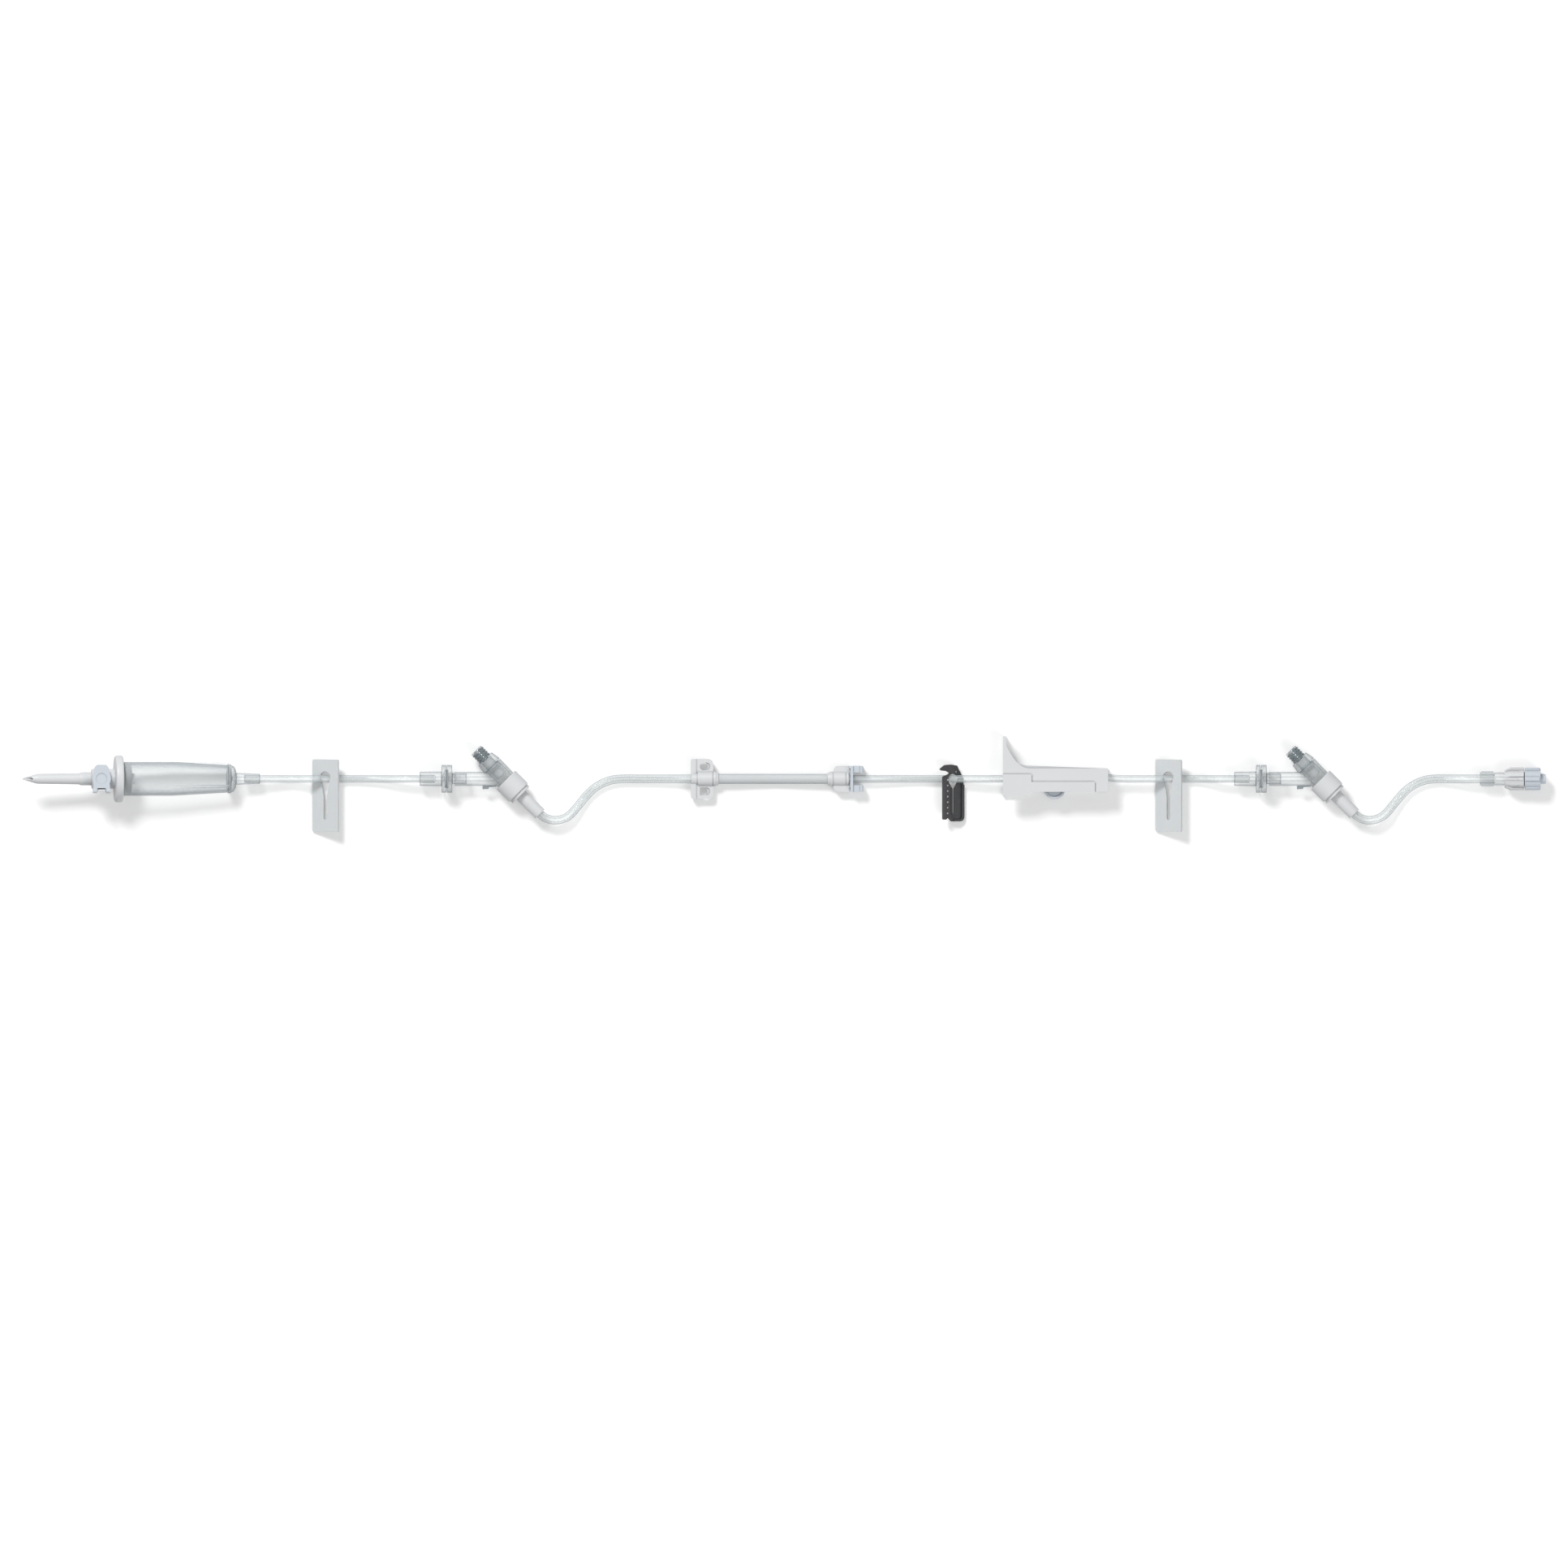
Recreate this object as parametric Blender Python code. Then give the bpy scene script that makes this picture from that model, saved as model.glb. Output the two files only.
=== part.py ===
"""IV infusion set laid out on a table.

From left to right: vented spike with its drip chamber, slide clamp, check valve, Y-site with a
needle-free port, pump segment between its two fitments, hooked clamp, roller clamp, second slide
clamp, second check valve and Y-site, and a capped male luer lock.

Metres, +Z up. The line runs along +X at the height that each piece has when it rests on the table,
and the origin lies on the table under the middle of the set.
"""

import math

import bmesh
import bpy
from mathutils import Matrix, Vector

# Fits
SEAT_GAP = 0.0003
SOCKET_CLEARANCE = 0.00015
RUNNING_CLEARANCE = 0.00025

# Tubing
LINE_TUBE_RADIUS = 0.00195
Y_TUBE_RADIUS = 0.00225
PUMP_SEGMENT_RADIUS = 0.0026
LUMEN_RADIUS = 0.0012
BOND_DEPTH = 0.008
PUMP_SEGMENT_BOND = 0.0055

# Bends where the tubing leaves each Y-site and swings back to the line
BOOT_BEND_RADIUS = 0.0112
LOW_BEND_RADIUS = 0.0122
RETURN_BEND_RADIUS = 0.0240
RETURN_ANGLE = math.radians(50)

# Length of each stretch of tubing that shows, measured along the line
UPPER_TUBE_RUN = 0.0839
Y_TUBE_RUN = 0.0790
PUMP_SEGMENT_RUN = 0.0570
LOWER_TUBE_RUN = 0.2014
OUTLET_TUBE_RUN = 0.0657

# Place of each clamp on its tube, from the fitting on its left
UPPER_SLIDE_CLAMP_AT = 0.0346
HOOK_CLAMP_AT = 0.0540
ROLLER_CLAMP_AT = 0.08025
LOWER_SLIDE_CLAMP_AT = 0.1671

# Spike and its vent
SPIKE_POINT = 0.0077
SPIKE_TIP_RADIUS = 0.0003
SPIKE_SHAFT = 0.0220
SPIKE_SHOULDER_RADIUS = 0.00262
SPIKE_ROOT_RADIUS = 0.00295
SPIKE_COLLAR = 0.0067
SPIKE_COLLAR_RADIUS = 0.00345
VENT_NECK = 0.0121
VENT_AT = 0.0075
VENT_NECK_RADIUS = 0.0052
VENT_STUB_RADIUS = 0.0040
VENT_STUB_HEIGHT = 0.0070
VENT_PORT_RADIUS = 0.0029
VENT_PORT_DEPTH = 0.0017
VENT_FILTER_THICKNESS = 0.0006
AIR_BORE_RADIUS = 0.0008
AIR_BORE_OFFSET = 0.00115
FLUID_BORE_RADIUS = 0.00105
FLUID_BORE_OFFSET = 0.0010
FLUID_BORE_INSET = 0.0040

# Vent cap and its hinge
CAP_THICKNESS = 0.0013
CAP_TAB_REACH = 0.00735
CAP_TAB_HALF_WIDTH = 0.0024
CAP_HALF_WIDTH = 0.0050
CAP_LEG_WIDTH = 0.0021
CAP_LEG_SPREAD = 0.00445
CAP_PLUG_RADIUS = 0.0026
CAP_DIMPLE_RADIUS = 0.00305
CAP_DIMPLE_DEPTH = 0.00035
CAP_PIN_RADIUS = 0.00055
CAP_PIN_REACH = 0.0062
CAP_KNUCKLE_RADIUS = 0.00135

# Flange and drip chamber
FLANGE_RADIUS = 0.0123
FLANGE_THICKNESS = 0.0043
FLANGE_ROUND = 0.0014
PLUG_DEPTH = 0.0043
DROP_TUBE_LENGTH = 0.0021
DROP_TUBE_RADIUS = 0.00285
CHAMBER_RADIUS = 0.00885
CHAMBER_WALL = 0.0007
CHAMBER_STRAIGHT = 0.0262
CHAMBER_TAPER = 0.0289
CHAMBER_FOOT_RADIUS = 0.0072
CHAMBER_RING_RADIUS = 0.0076
CHAMBER_RING_WIDTH = 0.0016
CHAMBER_BOTTOM = 0.0026
CHAMBER_RIB_RADIUS = 0.0085
CHAMBER_RIB_THICKNESS = 0.0012
SPOUT_LENGTH = 0.0126
SPOUT_ROOT_RADIUS = 0.0031
SPOUT_RADIUS = 0.00262
FLUID_FILTER_THICKNESS = 0.0008

# Slide clamps
SLIDE_CLAMP_WIDTH = 0.0155
SLIDE_CLAMP_THICKNESS = 0.0012
SLIDE_CLAMP_ABOVE = 0.0102
SLIDE_CLAMP_BELOW = 0.0277
SLIDE_CLAMP_CORNER = 0.0010
KEYHOLE_RADIUS = 0.0031
KEYHOLE_RISE = 0.0008
KEYHOLE_SLOT_WIDTH = 0.0020
KEYHOLE_TAPER_END = 0.0092
KEYHOLE_SLOT_END = 0.0215
CLAMP_TILT = math.radians(30)
CROSSING_SLOPE = 0.5

# Hooked clamp
HOOK_CLAMP_WIDTH = 0.0123
HOOK_CLAMP_THICKNESS = 0.0012
HOOK_CLAMP_BELOW = 0.0223
HOOK_MOUTH_RADIUS = 0.0030
HOOK_MOUTH_DROP = 0.0004
HOOK_SLOT_WIDTH = 0.0012
HOOK_TAPER_END = 0.0050
HOOK_SLOT_END = 0.0182
HOOK_RIM_WIDTH = 0.0015
HOOK_RIM_HEIGHT = 0.0010
HOOK_TOOTH_PITCH = 0.0029
HOOK_TOOTH_RADIUS = 0.00045
HOOK_TOOTH_COUNT = 7

# Check valves
VALVE_SLEEVE_LENGTH = 0.0114
VALVE_SLEEVE_RADIUS = 0.00383
VALVE_DISC_RADIUS = 0.0073
VALVE_INLET_DISC = 0.0025
VALVE_OUTLET_DISC = 0.0030
VALVE_NECK_LENGTH = 0.0014
VALVE_NECK_RADIUS = 0.00275
VALVE_SPIGOT = 0.0060
VALVE_POCKET_RADIUS = 0.0050
VALVE_POCKET_DEPTH = 0.0009
VALVE_FLAP_RADIUS = 0.0046
VALVE_FLAP_THICKNESS = 0.0014

# Y-sites
Y_ARM_LENGTH = 0.0262
Y_ARM_RADIUS = 0.00363
Y_BARREL_RADIUS = 0.0057
Y_BARREL_WAIST = 0.0055
Y_CAVITY_RADIUS = 0.0044
Y_WELD = -0.0092
Y_COLLAR_START = 0.0008
Y_COLLAR_LENGTH = 0.0094
Y_COLLAR_RADIUS = 0.0070
Y_COLLAR_WALL = 0.0012
Y_BASE_LENGTH = 0.0018
Y_BASE_RADIUS = 0.0062
Y_BOOT_LENGTH = 0.0140
Y_BOOT_RADIUS = 0.00335
Y_BOOT_BOND = 0.0100
Y_WEB_THICKNESS = 0.0016
PORT_LENGTH = 0.01205
PORT_THREAD_LENGTH = 0.00655
PORT_THREAD_RADIUS = 0.0038
PORT_CONE_START_RADIUS = 0.0049
PORT_SPIGOT = 0.0026
PORT_BORE_RADIUS = 0.00215
PISTON_HEAD_RADIUS = 0.00185
PISTON_SHOULDER = 0.0070
PISTON_SKIRT_RADIUS = 0.0030
PISTON_LENGTH = 0.0188
PISTON_WALL = 0.0008

# Pump fitments
UPPER_FITMENT_HEIGHT = 0.0209
UPPER_FITMENT_LENGTH = 0.0117
UPPER_FLANGE_THICKNESS = 0.0028
UPPER_FLANGE_DEPTH = 0.0034
UPPER_BUSH_RADIUS = 0.0031
FITMENT_PLATE_THICKNESS = 0.0024
FITMENT_BARREL_RADIUS = 0.0038
FITMENT_SOCKET_LENGTH = 0.0029
FITMENT_SOCKET_RING = 0.0014
FITMENT_SOCKET_RADIUS = 0.0039
EAR_HOLE_OFFSET = 0.0065
EAR_HOLE_AT = 0.0068
EAR_HOLE_RADIUS = 0.0021
EAR_HOLE_STEP = 0.0013
EAR_SLOT_LENGTH = 0.0054
EAR_SLOT_WIDTH = 0.0043
LOWER_FITMENT_HEIGHT = 0.0136
LOWER_FITMENT_SOCKET = 0.0031
LOWER_FITMENT_LENGTH = 0.0085
LOWER_FITMENT_DEPTH = 0.0034
LOWER_BARREL_GROOVE_AT = 0.0063
LOWER_BARREL_GROOVE_WIDTH = 0.0006
LOWER_BARREL_GROOVE_DEPTH = 0.0003
SLIDER_PLATE = 0.0015
SLIDER_PRONG_LENGTH = 0.0053
SLIDER_PRONG_WIDTH = 0.0035
SLIDER_LIP = 0.0016
SLIDER_LIP_RAISE = 0.0004
SLIDER_RAIL = 0.0060
SLIDER_RAIL_SIZE = 0.0012

# Roller clamp
HOUSING_LENGTH = 0.0551
HOUSING_WIDTH = 0.0150
HOUSING_PANEL_RAISE = 0.0008
HOUSING_WALL = 0.0017
HOUSING_TOP = 0.0055
HOUSING_BOTTOM = 0.0068
HOUSING_FOOT = 0.0093
HOUSING_FLOOR = 0.0012
HANGER_REACH = 0.0223
HANGER_STRIP = 0.0018
HANGER_STRIP_END = 0.01755
HANGER_WALL = 0.0016
RIDGE_START = 0.0123
RIDGE_END = 0.0504
RIDGE_HIGH = 0.00706
RIDGE_LOW = 0.00557
RIDGE_WIDTH = 0.0064
TROUGH_WIDTH = 0.0047
TROUGH_WALL = 0.0008
TROUGH_END = 0.0433
PANEL_STEP_AT = 0.0150
PANEL_END = 0.04815
PANEL_HIGH = 0.0024
PANEL_LOW = 0.0016
ROLLER_AT = 0.0270
ROLLER_RADIUS = 0.0059
ROLLER_DROP = 0.0048
ROLLER_WIDTH = 0.0086
ROLLER_RECESS_RADIUS = 0.0046
ROLLER_RECESS_DEPTH = 0.0006
ROLLER_HUB_RADIUS = 0.0020
ROLLER_RIDGES = 24
ROLLER_RIDGE_DEPTH = 0.00015
TRUNNION_RADIUS = 0.0010
TRUNNION_INSERTION = 0.00105
GROOVE_SLOPE = math.radians(6.5)
GROOVE_BACK = 0.0020
GROOVE_FORWARD = 0.0160

# Male luer end
BUSHING_LENGTH = 0.0070
BUSHING_RADIUS = 0.0040
BUSHING_SIDES = 6
LUER_BODY_LENGTH = 0.0059
LUER_BODY_RADIUS = 0.00335
LUER_CONE_REACH = 0.0021
LUER_CONE_RADIUS = 0.00197
LUER_RETAINER_RADIUS = 0.0040
LUER_RETAINER_WIDTH = 0.0009
COLLAR_LENGTH = 0.0103
COLLAR_RADIUS = 0.0054
COLLAR_THROAT = 0.0023
COLLAR_WAIST = 0.0075
COLLAR_WAIST_RADIUS = 0.0052
COLLAR_CAVITY_RADIUS = 0.0043
FIN_RADIUS = 0.0061
FIN_WIDTH = 0.0022
FIN_COUNT = 8
LUER_CAP_LENGTH = 0.0083
LUER_CAP_RADIUS = 0.0056
LUER_CAP_RIB_RADIUS = 0.0063
LUER_CAP_RIB_WIDTH = 0.0020
LUER_CAP_RIB_COUNT = 6
LUER_CAP_NIPPLE_LENGTH = 0.0027
LUER_CAP_NIPPLE_RADIUS = 0.00255
LUER_CAP_SLEEVE = 0.0052
LUER_CAP_SLEEVE_WALL = 0.0012

# Fineness of round shapes
WIDE_SIDES = 28
SMALL_SIDES = 20
BORE_SIDES = 12
ARC_STEPS = 4

# Directions that an outline's own axes take: across the line, upright, and along the line
ACROSS = Matrix(((0, 0, 1, 0), (1, 0, 0, 0), (0, 1, 0, 0), (0, 0, 0, 1)))
UPRIGHT = Matrix(((0, 1, 0, 0), (0, 0, 1, 0), (1, 0, 0, 0), (0, 0, 0, 1)))
DIAGONAL = math.radians(-45)


def clear_scene():
    for leftover in list(bpy.data.objects):
        bpy.data.objects.remove(leftover, do_unlink=True)


def make_material(name, colour, roughness, alpha=1.0):
    material = bpy.data.materials.new(name)
    material.use_nodes = True
    shader = material.node_tree.nodes["Principled BSDF"]
    shader.inputs["Base Color"].default_value = (*colour, 1.0)
    shader.inputs["Roughness"].default_value = roughness
    shader.inputs["Metallic"].default_value = 0.0
    shader.inputs["Alpha"].default_value = alpha
    return material


def frame_at(name, location, turn=(0.0, 0.0, 0.0), parent=None):
    """An empty that carries the pieces of one group."""
    frame = bpy.data.objects.new(name, None)
    frame.location = location
    frame.rotation_euler = turn
    frame.parent = parent
    bpy.context.scene.collection.objects.link(frame)
    return frame


def arc(x, y, radius, start, end, steps=ARC_STEPS):
    """Points of an arc, with its angles in degrees."""
    turns = [math.radians(start + (end - start) * k / steps) for k in range(steps + 1)]
    return [(x + radius * math.cos(t), y + radius * math.sin(t)) for t in turns]


def rounded(corners, steps=ARC_STEPS):
    """An outline whose corners are (x, y, radius), each rounded to its radius."""
    points = []
    count = len(corners)
    for k, (x, y, radius) in enumerate(corners):
        corner = Vector((x, y))
        before = (Vector(corners[k - 1][:2]) - corner).normalized()
        after = (Vector(corners[(k + 1) % count][:2]) - corner).normalized()
        half = before.angle(after) / 2
        if radius == 0 or half > math.radians(89):
            points.append((x, y))
            continue
        centre = corner + (before + after).normalized() * radius / math.sin(half)
        first = corner + before * radius / math.tan(half) - centre
        last = corner + after * radius / math.tan(half) - centre
        sweep = first.angle_signed(last)
        for step in range(steps + 1):
            turned_by = Matrix.Rotation(-sweep * step / steps, 2) @ first
            points.append(tuple(centre + turned_by))
    return points


def turned(outline, sides, place=Matrix()):
    """A solid of revolution about X. The outline is a loop of (x, radius) points."""
    shape = bmesh.new()
    rings = []
    for x, radius in outline:
        if radius == 0:
            rings.append([shape.verts.new((x, 0, 0))])
            continue
        turns = [2 * math.pi * k / sides for k in range(sides)]
        rings.append([shape.verts.new((x, radius * math.sin(t), radius * math.cos(t))) for t in turns])
    for ring, after in zip(rings, rings[1:] + rings[:1]):
        for k in range(sides):
            corners = (ring[k % len(ring)], ring[(k + 1) % len(ring)])
            corners += (after[(k + 1) % len(after)], after[k % len(after)])
            corners = list(dict.fromkeys(corners))
            if len(corners) > 2:
                shape.faces.new(corners)
    bmesh.ops.recalc_face_normals(shape, faces=shape.faces)
    bmesh.ops.transform(shape, matrix=place, verts=shape.verts)
    return shape


def rod(start, end, radius, sides, place=Matrix()):
    return turned([(start, 0), (start, radius), (end, radius), (end, 0)], sides, place)


def slab(outline, low, high, place=Matrix()):
    """An outline in X and Y, extruded along Z from low to high."""
    shape = bmesh.new()
    base = shape.faces.new([shape.verts.new((x, y, low)) for x, y in outline])
    raised = bmesh.ops.extrude_face_region(shape, geom=[base])["geom"]
    lifted = [item for item in raised if isinstance(item, bmesh.types.BMVert)]
    bmesh.ops.translate(shape, vec=(0, 0, high - low), verts=lifted)
    bmesh.ops.recalc_face_normals(shape, faces=shape.faces)
    bmesh.ops.transform(shape, matrix=place, verts=shape.verts)
    return shape


def block(low, high):
    """A box between two corners."""
    outline = [(low[0], low[1]), (high[0], low[1]), (high[0], high[1]), (low[0], high[1])]
    return slab(outline, low[2], high[2])


def piece(name, shape, frame, material, crease=35):
    """Turns a shape into a named object carried by a frame."""
    mesh = bpy.data.meshes.new(name)
    shape.to_mesh(mesh)
    shape.free()
    mesh.materials.append(material)
    mesh.shade_smooth()
    mesh.set_sharp_from_angle(angle=math.radians(crease))
    made = bpy.data.objects.new(name, mesh)
    made.parent = frame
    bpy.context.scene.collection.objects.link(made)
    return made


def combine(target, operation, *shapes, solver="EXACT"):
    """Joins helper shapes to a piece, or cuts them out of it, in the piece's own frame."""
    for shape in shapes:
        count = len(target.modifiers) + 1
        mesh = bpy.data.meshes.new(f"{target.name}_tool_{count}")
        shape.to_mesh(mesh)
        shape.free()
        tool = bpy.data.objects.new(mesh.name, mesh)
        tool.parent = target.parent
        tool.hide_render = True
        tool.display_type = "WIRE"
        bpy.context.scene.collection.objects.link(tool)
        modifier = target.modifiers.new(tool.name, "BOOLEAN")
        modifier.operation = operation
        modifier.solver = solver
        modifier.object = tool


def smooth_route(route, radius):
    """Points on a smooth curve through the route, about five radii apart or closer."""
    knots = [Vector(point) for point in route]
    knots = [2 * knots[0] - knots[1], *knots, 2 * knots[-1] - knots[-2]]
    points = [knots[1]]
    for a, b, c, d in zip(knots, knots[1:], knots[2:], knots[3:]):
        times = [0.0]
        for start, end in ((a, b), (b, c), (c, d)):
            times.append(times[-1] + math.sqrt((end - start).length))
        t0, t1, t2, t3 = times
        steps = max(1, math.ceil((c - b).length / (5 * radius)))
        for step in range(1, steps + 1):
            t = t1 + (t2 - t1) * step / steps
            ab = a.lerp(b, (t - t0) / (t1 - t0))
            bc = b.lerp(c, (t - t1) / (t2 - t1))
            cd = c.lerp(d, (t - t2) / (t3 - t2))
            points.append(ab.lerp(bc, (t - t0) / (t2 - t0)).lerp(bc.lerp(cd, (t - t1) / (t3 - t1)), (t - t1) / (t2 - t1)))
    return points


def cord(name, route, radius, material):
    """A length of tubing as one round solid along its route."""
    points = smooth_route(route, radius)
    curve = bpy.data.curves.new(name, "CURVE")
    curve.dimensions = "3D"
    curve.bevel_depth = radius
    curve.bevel_resolution = 2
    curve.use_fill_caps = True
    curve.materials.append(material)
    spline = curve.splines.new("POLY")
    spline.points.add(len(points) - 1)
    for knot, point in zip(spline.points, points):
        knot.co = (*point, 1.0)
    made = bpy.data.objects.new(name, curve)
    bpy.context.scene.collection.objects.link(made)
    return made


# Spike, vent and drip chamber, in a frame with X along the spike and 0 at the flange's left face


def vent_centre():
    return -VENT_AT


def spike_tip():
    return -(SPIKE_POINT + SPIKE_SHAFT + SPIKE_COLLAR + VENT_NECK)


def chamber_length():
    body = CHAMBER_STRAIGHT + CHAMBER_TAPER + CHAMBER_RING_WIDTH + CHAMBER_BOTTOM
    return FLANGE_THICKNESS + body + SPOUT_LENGTH


def ring_end():
    return FLANGE_THICKNESS + CHAMBER_STRAIGHT + CHAMBER_TAPER + CHAMBER_RING_WIDTH


def chamber_tilt():
    """The flange's rim and the base ring both touch the table."""
    span = ring_end() - (FLANGE_THICKNESS - FLANGE_ROUND)
    return math.atan2(FLANGE_RADIUS - CHAMBER_RING_RADIUS, span)


def plug_radius():
    return CHAMBER_RADIUS - CHAMBER_WALL - SOCKET_CLEARANCE


def cap_hinge():
    """Y and Z of the vent cap's hinge pin."""
    underside = VENT_STUB_HEIGHT + SEAT_GAP
    return -CAP_PIN_REACH, underside + CAP_THICKNESS / 4


def make_spike_body(frame, material):
    tip = spike_tip()
    shoulder = tip + SPIKE_POINT
    root = shoulder + SPIKE_SHAFT
    neck = root + SPIKE_COLLAR
    plug_end = FLANGE_THICKNESS + PLUG_DEPTH
    rim = arc(FLANGE_ROUND, FLANGE_RADIUS - FLANGE_ROUND, FLANGE_ROUND, 180, 90)
    rim += arc(FLANGE_THICKNESS - FLANGE_ROUND, FLANGE_RADIUS - FLANGE_ROUND, FLANGE_ROUND, 90, 0)
    outline = [
        (tip, 0),
        (tip, SPIKE_TIP_RADIUS),
        (shoulder, SPIKE_SHOULDER_RADIUS),
        (root, SPIKE_ROOT_RADIUS),
        (root + SPIKE_COLLAR * 0.18, SPIKE_COLLAR_RADIUS),
        (neck, SPIKE_COLLAR_RADIUS),
        (neck, VENT_NECK_RADIUS),
        (0, VENT_NECK_RADIUS),
        *rim,
        (FLANGE_THICKNESS, plug_radius()),
        (plug_end, plug_radius()),
        (plug_end, DROP_TUBE_RADIUS),
        (plug_end + DROP_TUBE_LENGTH, DROP_TUBE_RADIUS),
        (plug_end + DROP_TUBE_LENGTH, 0),
    ]
    body = piece("spike_body", turned(outline, WIDE_SIDES), frame, material)
    centre = Matrix.Translation((vent_centre(), 0, 0))
    stub = rod(VENT_NECK_RADIUS / 2, VENT_STUB_HEIGHT, VENT_STUB_RADIUS, SMALL_SIDES, centre @ UPRIGHT)
    combine(body, "UNION", stub, *hinge_lug(), solver="MANIFOLD")
    port_floor = VENT_STUB_HEIGHT - VENT_PORT_DEPTH
    over = VENT_STUB_HEIGHT + SEAT_GAP
    port = rod(port_floor, over, VENT_PORT_RADIUS, SMALL_SIDES, centre @ UPRIGHT)
    low = AIR_BORE_OFFSET - AIR_BORE_RADIUS / 3
    down = rod(low, over, AIR_BORE_RADIUS, BORE_SIDES, centre @ UPRIGHT)
    half_side = Matrix.Rotation(math.pi / BORE_SIDES, 4, "X")
    air_line = Matrix.Translation((0, 0, AIR_BORE_OFFSET)) @ half_side
    air_end = vent_centre() + AIR_BORE_RADIUS / 3
    air = rod(tip - SEAT_GAP, air_end, AIR_BORE_RADIUS, BORE_SIDES, air_line)
    fluid_line = Matrix.Translation((0, 0, -FLUID_BORE_OFFSET)) @ half_side
    far = plug_end + DROP_TUBE_LENGTH + SEAT_GAP
    fluid = rod(tip + FLUID_BORE_INSET, far, FLUID_BORE_RADIUS, BORE_SIDES, fluid_line)
    combine(body, "DIFFERENCE", port, down, air, fluid, solver="MANIFOLD")
    return body


def hinge_lug():
    """The lug on the neck that carries the cap's pin, and the pin through it."""
    y, z = cap_hinge()
    half = CAP_PIN_RADIUS * 1.5
    inner = CAP_LEG_SPREAD - CAP_LEG_WIDTH - RUNNING_CLEARANCE
    outer = CAP_LEG_SPREAD - SEAT_GAP
    foot_y, foot_z = -VENT_NECK_RADIUS * 0.72, VENT_NECK_RADIUS * 0.5
    lean = math.degrees(math.atan2(z - foot_z, y - foot_y))
    outline = arc(y, z, half, lean - 90, lean + 90)
    outline += arc(foot_y, foot_z, half, lean + 90, lean + 270)
    lug = slab(outline, vent_centre() - inner, vent_centre() + inner, ACROSS)
    pin_place = Matrix.Translation((vent_centre(), y, z))
    pin = rod(-outer, outer, CAP_PIN_RADIUS, BORE_SIDES, pin_place)
    return lug, pin


def make_vent_filter(frame, material):
    floor = VENT_STUB_HEIGHT - VENT_PORT_DEPTH + SEAT_GAP
    radius = VENT_PORT_RADIUS - SOCKET_CLEARANCE
    place = Matrix.Translation((vent_centre(), 0, 0)) @ UPRIGHT
    disc = rod(floor, floor + VENT_FILTER_THICKNESS, radius, SMALL_SIDES, place)
    return piece("vent_filter", disc, frame, material)


def make_vent_cap(frame, material):
    """Flip cap: a shaped plate with a finger tab, a plug below it and two legs round the hinge pin."""
    hinge_y, hinge_z = cap_hinge()
    carrier = frame_at("vent_cap_hinge", (vent_centre(), hinge_y, hinge_z), parent=frame)
    under = VENT_STUB_HEIGHT + SEAT_GAP - hinge_z
    reach = CAP_TAB_REACH - hinge_y
    inner = CAP_LEG_SPREAD - CAP_LEG_WIDTH
    gap_end = CAP_KNUCKLE_RADIUS
    half = [
        (inner, 0, 0),
        (CAP_LEG_SPREAD, 0, 0),
        (CAP_LEG_SPREAD * 0.96, -hinge_y * 0.62, 0.0008),
        (CAP_HALF_WIDTH, -hinge_y, 0.0006),
        (CAP_HALF_WIDTH * 0.72, -hinge_y + CAP_TAB_REACH * 0.82, 0.0010),
        (CAP_TAB_HALF_WIDTH, reach, 0.0008),
    ]
    gap = [(inner, gap_end, 0.0006)]
    left = [(-x, y, r) for x, y, r in reversed(half)]
    outline = rounded(gap + half + left + [(-inner, gap_end, 0.0006)], 3)
    cap = piece("vent_cap", slab(outline, under, under + CAP_THICKNESS), carrier, material)
    plug_bottom = -VENT_PORT_DEPTH + VENT_FILTER_THICKNESS + 2 * SEAT_GAP + under - SEAT_GAP
    centre = Matrix.Translation((0, -hinge_y, 0))
    plug = rod(plug_bottom, under + CAP_THICKNESS / 2, CAP_PLUG_RADIUS, SMALL_SIDES, centre @ UPRIGHT)
    legs = []
    for side in (-1, 1):
        low, high = sorted((side * inner, side * CAP_LEG_SPREAD))
        legs.append(rod(low, high, CAP_KNUCKLE_RADIUS, SMALL_SIDES))
    combine(cap, "UNION", plug, *legs, solver="MANIFOLD")
    top = under + CAP_THICKNESS
    dimple = rod(top - CAP_DIMPLE_DEPTH, top + SEAT_GAP, CAP_DIMPLE_RADIUS, SMALL_SIDES, centre @ UPRIGHT)
    spread = CAP_LEG_SPREAD + SEAT_GAP
    pin_hole = rod(-spread, spread, CAP_PIN_RADIUS + RUNNING_CLEARANCE, BORE_SIDES)
    combine(cap, "DIFFERENCE", dimple, pin_hole, solver="MANIFOLD")
    return cap


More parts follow.
